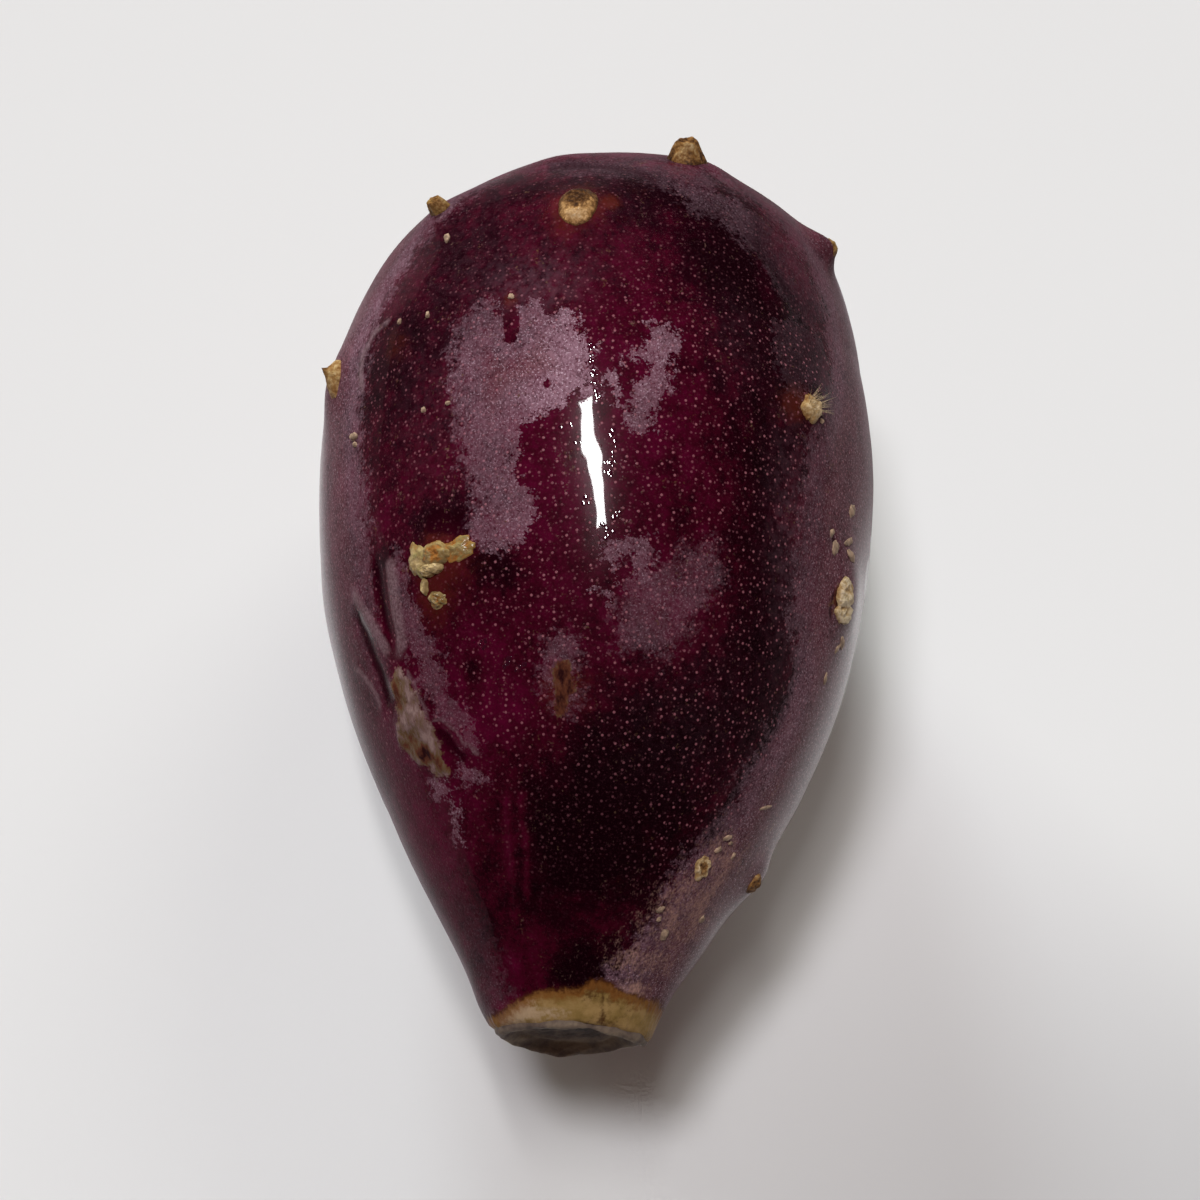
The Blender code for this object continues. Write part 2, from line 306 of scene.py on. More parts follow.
def fruitTree():
    tree, given, result = newTree("fruitBody", "GeometryNodeTree", {
        "Profile": "Object", "Areoles": "Object", "Rings": 100, "Around": 100, "Balance": 45.0, "Lean": 0.0,
        "Height To Width": 1.0, "Length": 80.0, "Lobes": 5.0, "Lobe Share": 0.01, "Lobe Twist": 1.2,
        "Cut Radius": 6.7, "Slant Right": 0.6, "Slant Up": 1.9, "Slant End": 0.14, "Lift": 0.0, "Relief": 0.1,
        "Relief Size": 6.0, "Pores": 0.005, "Pore Size": 1.2, "Crowding": 0.3, "Seed": 3.0, "Unit": 0.001,
        "Material": "Material"}, {"Fruit": "Geometry"})
    seam = -math.pi / 2     # the seam runs along the underside
    turns = calc(tree, "ADD", given["Around"], 1)
    grid = wire(tree, "GeometryNodeMeshGrid", {
        "Size X": 1.0, "Size Y": 1.0, "Vertices X": given["Rings"], "Vertices Y": turns})
    mapped = wire(tree, "GeometryNodeStoreNamedAttribute", {
        "Geometry": grid.outputs["Mesh"], "Name": "OFBake", "Value": grid.outputs["UV Map"]},
        data_type="FLOAT2", domain="CORNER")
    spot = splitVector(tree, positionOf(tree))
    share = calc(tree, "ADD", spot["X"], 0.5)
    even = calc(tree, "MULTIPLY", calc(tree, "ADD", spot["Y"], 0.5), math.tau)
    crowded = calc(tree, "MULTIPLY_ADD", calc(tree, "SINE", even), given["Crowding"], even)
    turn = calc(tree, "ADD", crowded, seam)

    # lathe the profile round the axis
    sample = wire(tree, "GeometryNodeSampleCurve", {
        "Curves": shapeOf(tree, given["Profile"]), "Factor": share}, mode="FACTOR")
    along, radius, sway = splitVector(tree, sample.outputs["Position"])
    station = calc(tree, "DIVIDE", along, given["Length"])
    wave = calc(tree, "COSINE", calc(tree, "MULTIPLY_ADD", turn, given["Lobes"],
                                     calc(tree, "MULTIPLY", station, given["Lobe Twist"])))
    lobed = calc(tree, "MULTIPLY", radius, calc(tree, "MULTIPLY_ADD", wave, given["Lobe Share"], 1.0))
    aside = calc(tree, "COSINE", turn)
    upward = calc(tree, "SINE", turn)
    x = calc(tree, "MULTIPLY_ADD", aside, lobed, sway)
    z = calc(tree, "MULTIPLY", calc(tree, "MULTIPLY", upward, lobed), given["Height To Width"])

    # the slanting cut carries the stem end out on its lower right side
    near = remap(tree, station, 0.0, given["Slant End"], 1.0, 0.0)
    inner = calc(tree, "MINIMUM", calc(tree, "DIVIDE", radius, given["Cut Radius"]), 1.0)
    fade = calc(tree, "MULTIPLY", near, inner)
    risen = calc(tree, "MULTIPLY", upward, given["Slant Up"])
    reach = calc(tree, "MULTIPLY_ADD", aside, given["Slant Right"], risen)
    centred = calc(tree, "SUBTRACT", along, given["Balance"])
    y = calc(tree, "SUBTRACT", centred, calc(tree, "MULTIPLY", fade, reach))
    upright = wire(tree, "ShaderNodeCombineXYZ", {0: x, 1: y, 2: z}).outputs[0]
    leaned = wire(tree, "ShaderNodeVectorRotate", {"Vector": upright, "Angle": given["Lean"]},
                  rotation_type="X_AXIS").outputs[0]
    lathed = wire(tree, "GeometryNodeSetPosition", {"Geometry": mapped.outputs[0], "Position": leaned})

    # raise a swelling under each areole
    points = shapeOf(tree, given["Areoles"])
    here = positionOf(tree)
    nearest = wire(tree, "GeometryNodeSampleNearest", {"Geometry": points, "Sample Position": here})
    wanted = (("FLOAT", namedValue(tree, "height", "FLOAT")), ("FLOAT", namedValue(tree, "spread", "FLOAT")),
              ("FLOAT_VECTOR", positionOf(tree)))
    nearby = {"Geometry": points, "Index": nearest.outputs[0]}
    height, spread, centre = [
        wire(tree, "GeometryNodeSampleIndex", {**nearby, "Value": value}, data_type=kind).outputs["Value"]
        for kind, value in wanted]
    reach = calc(tree, "DIVIDE", vectorCalc(tree, "DISTANCE", here, centre, output="Value"), spread)
    bell = calc(tree, "EXPONENT", calc(tree, "MULTIPLY", calc(tree, "MULTIPLY", reach, reach), -1.0))
    rise = calc(tree, "MULTIPLY", bell, height)
    axis = wire(tree, "ShaderNodeVectorRotate", {"Vector": (0.0, 1.0, 0.0), "Angle": given["Lean"]},
                rotation_type="X_AXIS").outputs[0]
    onAxis = vectorCalc(tree, "PROJECT", here, axis)
    outward = vectorCalc(tree, "NORMALIZE", vectorCalc(tree, "SUBTRACT", here, onAxis))
    swollen = wire(tree, "GeometryNodeSetPosition", {
        "Geometry": lathed.outputs[0], "Offset": vectorCalc(tree, "SCALE", outward, rise)})

    # the skin's gentle unevenness
    uneven = 0.0
    bumpKinds = (("Relief Size", "Relief", 3.0, 0.45), ("Pore Size", "Pores", 1.0, 0.5))
    for size, amount, detail, roughness in bumpKinds:
        bumps = wire(tree, "ShaderNodeTexNoise", {
            "Vector": positionOf(tree), "W": given["Seed"], "Scale": calc(tree, "DIVIDE", 1.0, given[size]),
            "Detail": detail, "Roughness": roughness}, noise_dimensions="4D").outputs[0]
        uneven = addSwing(tree, bumps, given[amount], uneven)
    relieved = wire(tree, "GeometryNodeSetPosition", {
        "Geometry": swollen.outputs[0],
        "Offset": vectorCalc(tree, "SCALE", wire(tree, "GeometryNodeInputNormal").outputs[0], uneven)})

    # set it down, flat where it rests, and bring it to size
    px, py, pz = splitVector(tree, positionOf(tree))
    rested = calc(tree, "MAXIMUM", calc(tree, "ADD", pz, given["Lift"]), 0.0)
    place = wire(tree, "ShaderNodeCombineXYZ", {0: px, 1: py, 2: rested}).outputs[0]
    down = wire(tree, "GeometryNodeSetPosition", {
        "Geometry": relieved.outputs[0], "Position": vectorCalc(tree, "SCALE", place, given["Unit"])})
    closed = wire(tree, "GeometryNodeMergeByDistance", {"Geometry": down.outputs[0], "Distance": 1e-6})
    smooth = wire(tree, "GeometryNodeSetShadeSmooth", {"Geometry": closed.outputs[0]})
    tree.links.new(paint(tree, smooth, given["Material"]), result[0])
    return tree


# finishes
def raggedGroup():
    # turns a smooth edge distance into a ragged outline that breaks up into small flakes
    tree, given, result = newTree("raggedEdge", "ShaderNodeTree", {
        "Edge": 0.0, "Point": "Vector", "Coarse": 0.8, "Fine": 0.5, "Softness": 0.1, "Seed": 0.0},
        {"Mask": "Float"})
    total = given["Edge"]
    place = vectorCalc(tree, "ADD", given["Point"], calc(tree, "MULTIPLY", given["Seed"], 17.3))
    specks = ((1.9, "Coarse", 4.0, 2.0), (0.5, "Fine", 4.0, 2.0), (0.19, "Fine", 2.0, 0.0))
    for size, amount, gain, detail in specks:
        speck = wire(tree, "ShaderNodeTexNoise", {
            "Vector": place, "Scale": 1 / size, "Detail": detail, "Roughness": 0.6}).outputs[0]
        swing = calc(tree, "MULTIPLY", calc(tree, "SUBTRACT", speck, 0.5), gain)
        total = calc(tree, "MULTIPLY_ADD", swing, given[amount], total)
    low = calc(tree, "MULTIPLY", given["Softness"], -1.0)
    tree.links.new(remap(tree, total, low, given["Softness"]), result["Mask"])
    return tree


def flakesGroup():
    # angular flakes in two sizes, each lifted or lowered by chance
    tree, given, result = newTree("waxFlakes", "ShaderNodeTree", {"Point": "Vector"}, {"Value": "Float"})
    total = 0.0
    for size in (0.55, 0.27):
        cells = wire(tree, "ShaderNodeTexVoronoi", {"Vector": given["Point"], "Scale": 1 / size})
        lot = wire(tree, "ShaderNodeSeparateColor", {0: cells.outputs["Color"]}).outputs[0]
        total = calc(tree, "ADD", calc(tree, "SUBTRACT", lot, 0.5), total)
    tree.links.new(total, result["Value"])
    return tree


def dotsGroup():
    # small round dots scattered through the skin, measured along its surface
    tree, given, result = newTree("skinDots", "ShaderNodeTree", {
        "Point": "Vector", "Normal": "Vector", "Spacing": 1.1, "Radius": 0.2},
        {"Mask": "Float", "Chance": "Float"})
    cells = wire(tree, "ShaderNodeTexVoronoi", {
        "Vector": given["Point"], "Scale": calc(tree, "DIVIDE", 1.0, given["Spacing"]), "Randomness": 0.75})
    away = vectorCalc(tree, "SUBTRACT", given["Point"], cells.outputs["Position"])
    depth = vectorCalc(tree, "DOT_PRODUCT", away, given["Normal"], output="Value")
    level = vectorCalc(tree, "SUBTRACT", away, vectorCalc(tree, "SCALE", given["Normal"], depth))
    across = vectorCalc(tree, "LENGTH", level, output="Value")
    half = calc(tree, "MULTIPLY", given["Spacing"], 0.55)
    shown = calc(tree, "LESS_THAN", calc(tree, "ABSOLUTE", depth), half)
    core = remap(tree, across, given["Radius"], calc(tree, "MULTIPLY", given["Radius"], 0.35))
    chance = wire(tree, "ShaderNodeSeparateColor", {0: cells.outputs["Color"]}).outputs[0]
    tree.links.new(calc(tree, "MULTIPLY", core, shown), result["Mask"])
    tree.links.new(chance, result["Chance"])
    return tree


def grainGroup():
    # fine cork or felt grain: a value for the colour and a height for the bump
    tree, given, result = newTree("corkGrain", "ShaderNodeTree", {
        "Point": "Vector", "Size": 0.3, "Seed": 0.0}, {"Value": "Float", "Height": "Float"})
    scale = calc(tree, "DIVIDE", 1.0, given["Size"])
    place = vectorCalc(tree, "ADD", given["Point"], calc(tree, "MULTIPLY", given["Seed"], 17.3))
    broad = wire(tree, "ShaderNodeTexNoise", {
        "Vector": place, "Scale": scale, "Detail": 3.0, "Roughness": 0.65}).outputs[0]
    finer = calc(tree, "MULTIPLY", scale, 1.3)
    cracks = wire(tree, "ShaderNodeTexVoronoi", {"Vector": place, "Scale": finer}).outputs["Distance"]
    tree.links.new(remap(tree, broad, 0.3, 0.7), result["Value"])
    tree.links.new(calc(tree, "MULTIPLY_ADD", cracks, -0.6, broad), result["Height"])
    return tree


ragged = raggedGroup()
flakes = flakesGroup()
dots = dotsGroup()
corkGrain = grainGroup()


def useGroup(tree, group, inputs):
    return wire(tree, "ShaderNodeGroup", inputs, node_tree=group).outputs


def raggedMask(tree, edge, point, coarse, fine, softness, seed):
    return useGroup(tree, ragged, {"Edge": edge, "Point": point, "Coarse": coarse, "Fine": fine,
                                   "Softness": softness, "Seed": seed})["Mask"]


def startMaterial(name, **constants):
    material = bpy.data.materials.new(name)
    material.use_nodes = True
    tree = material.node_tree
    shader = tree.nodes["Principled BSDF"]
    for label, value in constants.items():
        shader.inputs[label].default_value = value
    point = wire(tree, "ShaderNodeTexCoord").outputs["Object"]
    return material, tree, shader, vectorCalc(tree, "SCALE", point, 1 / unit)


def addBump(tree, shader, height, strength, depth):
    bump = wire(tree, "ShaderNodeBump", {"Strength": strength, "Distance": depth * unit, "Height": height})
    tree.links.new(bump.outputs[0], shader.inputs["Normal"])


def layer(tree, name):
    return wire(tree, "ShaderNodeAttribute", attribute_type="GEOMETRY", attribute_name=name).outputs["Fac"]


def noiseOf(tree, point, size, detail, seed, roughness=0.55, stretch=None):
    if stretch:
        point = vectorCalc(tree, "MULTIPLY", point, stretch)
    moved = vectorCalc(tree, "ADD", point, (17.3 * seed, -7.9 * seed, 4.1 * seed))
    return wire(tree, "ShaderNodeTexNoise", {
        "Vector": moved, "Scale": 1 / size, "Detail": detail, "Roughness": roughness}).outputs[0]


def rampOf(tree, value, stops):
    node = wire(tree, "ShaderNodeValToRGB", {0: value})
    ramp = node.color_ramp
    while len(ramp.elements) < len(stops):
        ramp.elements.new(0.5)
    for element, (place, colour) in zip(ramp.elements, stops):
        element.position = place
        element.color = colour
    return node.outputs[0]


skinLook = {
    "black": (0.0072, 0.0001, 0.0018, 1), "deep": (0.0165, 0.0002, 0.0036, 1),
    "wine": (0.044, 0.0009, 0.0078, 1), "magenta": (0.108, 0.0016, 0.025, 1),
    "dot": (0.32, 0.115, 0.140, 1), "dotSpacing": 0.96, "dotRadius": 0.155,
    "fleckSpacing": 0.60, "fleckRadius": 0.11, "dustShare": 0.05,
    "veil": (0.27, 0.142, 0.184, 1), "flankVeil": (0.215, 0.094, 0.116, 1), "veilShare": 0.40,
    "paintedGlints": (0.55, 0.38, 0.45, 1), "paintedGlintShare": 0.42,
    "redBrown": (0.13, 0.020, 0.007, 1), "chalk": (0.46, 0.26, 0.205, 1), "ridge": (0.22, 0.135, 0.150, 1),
    "rindTan": (0.37, 0.235, 0.090, 1), "rindOlive": (0.26, 0.165, 0.050, 1),
    "rindPale": (0.50, 0.355, 0.225, 1), "rindOrange": (0.21, 0.080, 0.018, 1),
    "rindBrown": (0.045, 0.010, 0.003, 1),
    "scarStops": (
        (0.0, (0.026, 0.005, 0.006, 1)), (0.30, (0.12, 0.036, 0.019, 1)), (0.50, (0.135, 0.080, 0.040, 1)),
        (0.70, (0.19, 0.110, 0.100, 1)), (1.0, (0.33, 0.225, 0.20, 1))),
    "glossRough": 0.20, "bloomRough": 0.47, "flankRough": 0.55,
}


def skinMaterial(look):
    material, tree, shader, point = startMaterial("fruitSkin", **{
        "Coat Roughness": 0.03, "Coat IOR": 1.45, "IOR": 1.42, "Specular IOR Level": 0.10,
        "Sheen Weight": 0.12, "Sheen Roughness": 0.28, "Sheen Tint": (0.95, 0.84, 0.88, 1)})
    normal = wire(tree, "ShaderNodeNewGeometry").outputs["Normal"]

    # pigment under the surface
    tone = layer(tree, "tone")
    cloud = noiseOf(tree, point, 7.0, detail=2.0, seed=3)
    blotch = noiseOf(tree, point, 1.9, detail=4.0, roughness=0.62, seed=8, stretch=(1.0, 0.7, 1.0))
    stain = noiseOf(tree, point, 0.8, detail=3.0, roughness=0.65, seed=10)
    mottle = noiseOf(tree, point, 0.28, detail=2.0, seed=12)
    depth = tone
    for speckle, gain in ((cloud, 1.2), (blotch, 2.2), (stain, 1.3), (mottle, 0.9)):
        depth = addSwing(tree, speckle, gain, depth)
    pigment = rampOf(tree, remap(tree, depth, -1.3, 1.3, smooth=False), (
        (0.05, look["black"]), (0.30, look["deep"]), (0.52, look["wine"]), (1.0, look["magenta"])))

    # pale dots, large and small
    scatter = useGroup(tree, dots, {"Point": point, "Normal": normal, "Spacing": look["dotSpacing"],
                                    "Radius": look["dotRadius"]})
    flecks = useGroup(tree, dots, {"Point": point, "Normal": normal, "Spacing": look["fleckSpacing"],
                                   "Radius": look["fleckRadius"]})
    large = calc(tree, "MULTIPLY", scatter["Mask"], remap(tree, scatter["Chance"], 0.0, 0.9, 0.25, 0.95))
    small = calc(tree, "MULTIPLY", flecks["Mask"], remap(tree, flecks["Chance"], 0.15, 0.95, 0.04, 0.42))
    dotted = layer(tree, "dotted")
    dotMask = calc(tree, "MULTIPLY", calc(tree, "MAXIMUM", large, small), dotted)
    dust = remap(tree, noiseOf(tree, point, 0.2, detail=1.0, seed=13), 0.55, 0.75, 0.0, look["dustShare"])
    dotMask = calc(tree, "MAXIMUM", dotMask, dust)
    pigment = blendColour(tree, dotMask, pigment, look["dot"])

    # red-brown halo round the areoles
    halo = raggedMask(tree, calc(tree, "SUBTRACT", layer(tree, "flush"), 0.45), point,
                      coarse=0.16, fine=0.12, softness=0.38, seed=5.0)
    pigment = blendColour(tree, calc(tree, "MULTIPLY", halo, 0.42), pigment, look["redBrown"])

    # waxy bloom lying over it
    edge = layer(tree, "bloom")
    crisp = layer(tree, "crisp")
    flake = useGroup(tree, flakes, {"Point": point})["Value"]
    flaked = calc(tree, "MULTIPLY_ADD", flake, blendValue(tree, crisp, 1.0, 0.45), edge)
    bloomMask = raggedMask(tree, flaked, point, coarse=blendValue(tree, crisp, 0.85, 0.75), fine=0.5,
                           softness=blendValue(tree, crisp, 1.15, 0.10), seed=1.0)
    waxCloud = noiseOf(tree, point, 2.6, detail=3.0, seed=21)
    waxGrain = noiseOf(tree, point, 0.19, detail=2.0, roughness=0.6, seed=23, stretch=(1.0, 0.65, 1.0))
    waxSpots = noiseOf(tree, point, 0.7, detail=3.0, roughness=0.65, seed=27)
    share = look["veilShare"]
    for speckle, gain in ((waxCloud, 0.50), (waxSpots, 0.60), (waxGrain, 1.25)):
        share = addSwing(tree, speckle, gain, share)
    share = calc(tree, "MAXIMUM", share, 0.04)
    wax = layer(tree, "wax")
    share = calc(tree, "MULTIPLY", share, wax)
    deepIn = remap(tree, edge, 2.0, 4.0)
    veil = blendColour(tree, deepIn, look["veil"], look["flankVeil"])
    haze = calc(tree, "MULTIPLY", layer(tree, "haze"), remap(tree, waxSpots, 0.35, 0.65, 0.3, 1.7))
    cover = calc(tree, "MAXIMUM", calc(tree, "MULTIPLY", share, bloomMask), haze)
    veiled = blendColour(tree, cover, pigment, veil)
    # pale specks mixed into the wax colour are painted highlights, standing for the wax's fine glints
    sparks = noiseOf(tree, point, 0.16, detail=1.0, seed=29)
    paintedGlints = remap(tree, sparks, 0.57, 0.72, 0.0, look["paintedGlintShare"])
    paintedGlints = calc(tree, "MULTIPLY", calc(tree, "MULTIPLY", paintedGlints, bloomMask), wax)
    veiled = blendColour(tree, paintedGlints, veiled, look["paintedGlints"])

    # folds, scars, chalky specks and the rind left at the stem
    fold = layer(tree, "fold")
    ridgeGrain = remap(tree, waxGrain, 0.3, 0.7, 0.35, 0.85)
    ridgeMask = calc(tree, "MULTIPLY", remap(tree, fold, 0.08, 0.26), ridgeGrain)
    colour = blendColour(tree, ridgeMask, veiled, look["ridge"])
    # painted shade: the fold valleys are darkened towards the deep pigment
    colour = blendColour(tree, remap(tree, fold, -0.06, -0.30, 0.0, 0.85), colour, look["deep"])
    grainOut = useGroup(tree, corkGrain, {
        "Point": vectorCalc(tree, "MULTIPLY", point, (1.5, 0.5, 1.2)), "Size": 0.7, "Seed": 2.0})
    scarTone = addSwing(tree, grainOut["Value"], 0.36, layer(tree, "scarTone"))
    cork = rampOf(tree, scarTone, look["scarStops"])
    scarMask = raggedMask(tree, calc(tree, "SUBTRACT", layer(tree, "brown"), 0.5), point,
                          coarse=0.22, fine=0.30, softness=0.26, seed=9.0)
    colour = blendColour(tree, scarMask, colour, cork)
    chalkPoint = vectorCalc(tree, "MULTIPLY", point, (1.3, 0.6, 1.3))
    chalkMask = raggedMask(tree, calc(tree, "SUBTRACT", layer(tree, "chalky"), 0.95), chalkPoint,
                           coarse=0.30, fine=0.40, softness=0.55, seed=14.0)
    chalkGrain = remap(tree, noiseOf(tree, chalkPoint, 0.22, detail=3.0, seed=37), 0.3, 0.7, 0.30, 0.95)
    colour = blendColour(tree, calc(tree, "MULTIPLY", chalkMask, chalkGrain), colour, look["chalk"])
    rindEdge = layer(tree, "rind")
    rindMask = raggedMask(tree, rindEdge, point, coarse=0.20, fine=0.16, softness=0.30, seed=17.0)
    rindCloud = noiseOf(tree, point, 1.7, detail=5.0, roughness=0.6, seed=31, stretch=(1.0, 1.6, 1.0))
    rindTone = blendColour(tree, remap(tree, rindCloud, 0.35, 0.65), look["rindOlive"], look["rindTan"])
    rindStain = noiseOf(tree, point, 0.45, detail=4.0, roughness=0.62, seed=35)
    lighter = addSwing(tree, rindStain, 2.2, tone)
    rindTone = blendColour(tree, remap(tree, lighter, 0.2, 1.1, 0.0, 0.8), rindTone, look["rindPale"])
    rindTone = blendColour(tree, remap(tree, lighter, -0.4, -1.4, 0.0, 0.85), rindTone, look["rindBrown"])
    browning = addSwing(tree, rindStain, 1.3, rindEdge)
    rindTone = blendColour(tree, remap(tree, browning, 1.2, 0.4, 0.0, 0.85), rindTone, look["rindOrange"])
    rindTone = blendColour(tree, remap(tree, browning, 0.45, -0.15, 0.0, 0.9), rindTone, look["rindBrown"])
    colour = blendColour(tree, rindMask, colour, rindTone)
    tree.links.new(colour, shader.inputs["Base Color"])

    # wet gloss where there is no wax
    matte = bloomMask
    for mask in (rindMask, calc(tree, "MULTIPLY", scarMask, 0.8), chalkMask):
        matte = calc(tree, "MAXIMUM", matte, mask)
    waxRough = blendValue(tree, crisp, look["flankRough"], look["bloomRough"])
    rough = blendValue(tree, matte, look["glossRough"], waxRough)
    tree.links.new(calc(tree, "MULTIPLY_ADD", waxGrain, calc(tree, "MULTIPLY", matte, -0.16), rough),
                   shader.inputs["Roughness"])
    wet = calc(tree, "MULTIPLY", calc(tree, "SUBTRACT", 1.0, matte), remap(tree, fold, -0.45, -0.1, 0.3, 1.0))
    wet = calc(tree, "MAXIMUM", calc(tree, "MULTIPLY", wet, layer(tree, "gloss")), layer(tree, "shine"))
    tree.links.new(wet, shader.inputs["Coat Weight"])

    # relief: pimples at the dots, the wax and its grain, and cork
    height = calc(tree, "MULTIPLY", dotMask, 0.35)
    height = calc(tree, "MULTIPLY_ADD", bloomMask, calc(tree, "MULTIPLY_ADD", waxGrain, 0.9, 0.2), height)
    corky = calc(tree, "MAXIMUM", scarMask, rindMask)
    height = calc(tree, "MULTIPLY_ADD", calc(tree, "MULTIPLY", grainOut["Height"], corky), 2.4, height)
    addBump(tree, shader, height, strength=0.5, depth=0.07)
    return material


corkLook = {
    "stops": {0.0: "23140c", 0.22: "54361d", 0.42: "8a6134", 0.62: "ab8a5b", 0.82: "cbb087", 1.0: "e3cfae"},
    "green": "6f6c33", "roughness": 0.55,
}


def corkMaterial(name, look, size=0.35, coat=0.0):
    # its colour follows the "tone" layer from dark brown to cream, and "green" leans it to olive
    material, tree, shader, point = startMaterial(name, **{
        "Roughness": look["roughness"], "Coat Roughness": 0.15, "Coat Weight": coat,
        "Specular IOR Level": 0.4})
    grainOut = useGroup(tree, corkGrain, {"Point": point, "Size": size, "Seed": 6.0})
    fine = noiseOf(tree, point, size * 0.35, detail=3.0, seed=4)
    tone = addSwing(tree, grainOut["Value"], 0.30, layer(tree, "tone"))
    tone = addSwing(tree, fine, 0.22, tone)
    colour = rampOf(tree, tone, [(place, hexColour(tint)) for place, tint in look["stops"].items()])
    olive = calc(tree, "MULTIPLY", layer(tree, "green"), 0.7)
    colour = blendColour(tree, olive, colour, hexColour(look["green"]))
    tree.links.new(colour, shader.inputs["Base Color"])
    finer = calc(tree, "MULTIPLY", fine, 0.4)
    height = calc(tree, "ADD", calc(tree, "MULTIPLY", grainOut["Height"], 0.8), finer)
    addBump(tree, shader, height, strength=0.7, depth=0.12)
    return material


padLook = {
    "stops": {0.0: "3a1d10", 0.30: "a3692f", 0.50: "8c7448", 0.70: "a98f60", 0.95: "d3b886"},
    "green": "83804a", "roughness": 0.42,
}
bossLook = {
    "stops": {0.0: "2a170d", 0.20: "4f321b", 0.40: "7d5833", 0.60: "b88a55", 0.80: "e0b47c", 1.0: "f0cfa0"},
    "green": "6f6c33", "roughness": 0.50,
}
cutFinishLook = {
    "stops": {0.0: "171112", 0.22: "3d3430", 0.42: "6a5a50", 0.62: "80705f", 0.82: "9c8b72", 1.0: "cfc3ae"},
    "green": "6f6c33", "roughness": 0.6,
}


def plainCork(name, tint):
    material, tree, shader, point = startMaterial(name, **{"Roughness": 0.6, "Specular IOR Level": 0.35})
    patches = noiseOf(tree, point, 0.5, detail=3.0, seed=15)
    darker = [0.45 * v for v in tint[:3]] + [1]
    colour = blendColour(tree, remap(tree, patches, 0.3, 0.7), darker, tint)
    tree.links.new(colour, shader.inputs["Base Color"])
    return material


print("mixing the finishes")
skinFinish = skinMaterial(skinLook)
corkFinish = corkMaterial("areoleCork", corkLook)
cutFinish = corkMaterial("driedCut", cutFinishLook, size=1.3)
padFinish = corkMaterial("brokenFlesh", padLook, size=0.6, coat=0.80)
crumbFinish = plainCork("paleCork", (0.50, 0.34, 0.23, 1))
bristleFinish = plainCork("bristle", (0.62, 0.48, 0.30, 1))
bossFinish = corkMaterial("glossyCork", bossLook, coat=0.30)
beadFinish = startMaterial("waxBead", **{
    "Base Color": (0.05, 0.002, 0.012, 1), "Roughness": 0.05, "IOR": 2.2, "Specular IOR Level": 1.0})[0]


def skinValues():
    # the tree's inputs that the dictionary names, and the ones worked out from it
    values = {label: fruit[key] for label, key in (
        ("Rings", "rings"), ("Around", "around"), ("Lean", "lean"), ("Height To Width", "heightToWidth"),
        ("Length", "length"), ("Lobe Share", "lobeShare"), ("Lobe Twist", "lobeTwist"),
        ("Cut Radius", "cutRadius"), ("Slant Right", "slantRight"), ("Slant Up", "slantUp"),
        ("Slant End", "slantEnd"), ("Relief", "relief"), ("Relief Size", "reliefSize"), ("Pores", "pores"),
        ("Pore Size", "poreSize"), ("Crowding", "crowding"))}
    return {**values, "Lobes": float(fruit["lobes"]), "Balance": fruit["balance"] * fruit["length"],
            "Profile": profileGuide(), "Areoles": areoleGuide(), "Lift": lift, "Unit": unit,
            "Material": skinFinish}


print("growing the fruit")
skin = growMesh("skin", fruitTree(), skinValues())


# places on the skin, unrolled flat in mm so that marks can be laid out on it
def pointsOf(mesh):
    flat = np.empty(len(mesh.vertices) * 3)
    mesh.vertices.foreach_get("co", flat)
    return flat.reshape(-1, 3) / unit


def normalsOf(mesh):
    flat = np.empty(len(mesh.vertices) * 3)
    mesh.vertices.foreach_get("normal", flat)
    return flat.reshape(-1, 3)


def placesOf(points):
    # station along and degrees round of points given in mm
    lowered = points - (0, 0, lift)
    straight = lowered @ np.array(leaning)
    stations = straight[:, 1] / fruit["length"] + fruit["balance"]
    turns = np.arctan2(straight[:, 2] / fruit["heightToWidth"], straight[:, 0] - swayAt(stations))
    stations = stations + slantAt(stations, turns) / fruit["length"]
    angles = np.degrees(turns)
    return stations, np.where(angles < -90, angles + 360, angles)


def unroll(stations, angles):
    radius = np.interp(np.asarray(stations) * fruit["length"], skinCurve[:, 0], skinCurve[:, 1])
    return np.stack([np.radians(np.asarray(angles) - 90) * radius,
                     np.asarray(stations) * fruit["length"]], axis=-1)


def flatLine(places):
    # the line in mm on the unrolled skin, with points added so that it follows the fruit's form
    step = 6.0     # degrees, or hundredths of the length
    dense = [places[0]]
    for (s0, a0), (s1, a1) in zip(places, places[1:]):
        pieces = max(1, int(max(abs(a1 - a0), 100 * abs(s1 - s0)) / step))
        dense += [(s0 + (s1 - s0) * k / pieces, a0 + (a1 - a0) * k / pieces) for k in range(1, pieces + 1)]
    return unroll(*zip(*dense))


def nearLine(spots, places):
    # distance to a line in mm, and the share of the way along it
    line = flatLine(places)
    best = np.full(len(spots), 1e9)
    share = np.zeros(len(spots))
    for i, (a, b) in enumerate(zip(line, line[1:])):
        t = np.clip(((spots - a) @ (b - a)) / max((b - a) @ (b - a), 1e-9), 0, 1)
        away = np.linalg.norm(spots - a - t[:, None] * (b - a), axis=1)
        closer = away < best
        best[closer] = away[closer]
        share[closer] = (i + t[closer]) / (len(line) - 1)
    return best, share


def insideOf(spots, places):
    # signed distance to a closed outline in mm, positive inside
    line = flatLine([*places, places[0]])
    best = np.full(len(spots), 1e9)
    inside = np.zeros(len(spots), dtype=bool)
    for a, b in zip(line, line[1:]):
        t = np.clip(((spots - a) @ (b - a)) / max((b - a) @ (b - a), 1e-9), 0, 1)
        best = np.minimum(best, np.linalg.norm(spots - a - t[:, None] * (b - a), axis=1))
        crosses = (a[1] > spots[:, 1]) != (b[1] > spots[:, 1])
        reach = a[0] + (spots[:, 1] - a[1]) / (b[1] - a[1] if b[1] != a[1] else 1e-9) * (b[0] - a[0])
        inside ^= crosses & (spots[:, 0] < reach)
    return np.where(inside, best, -best)


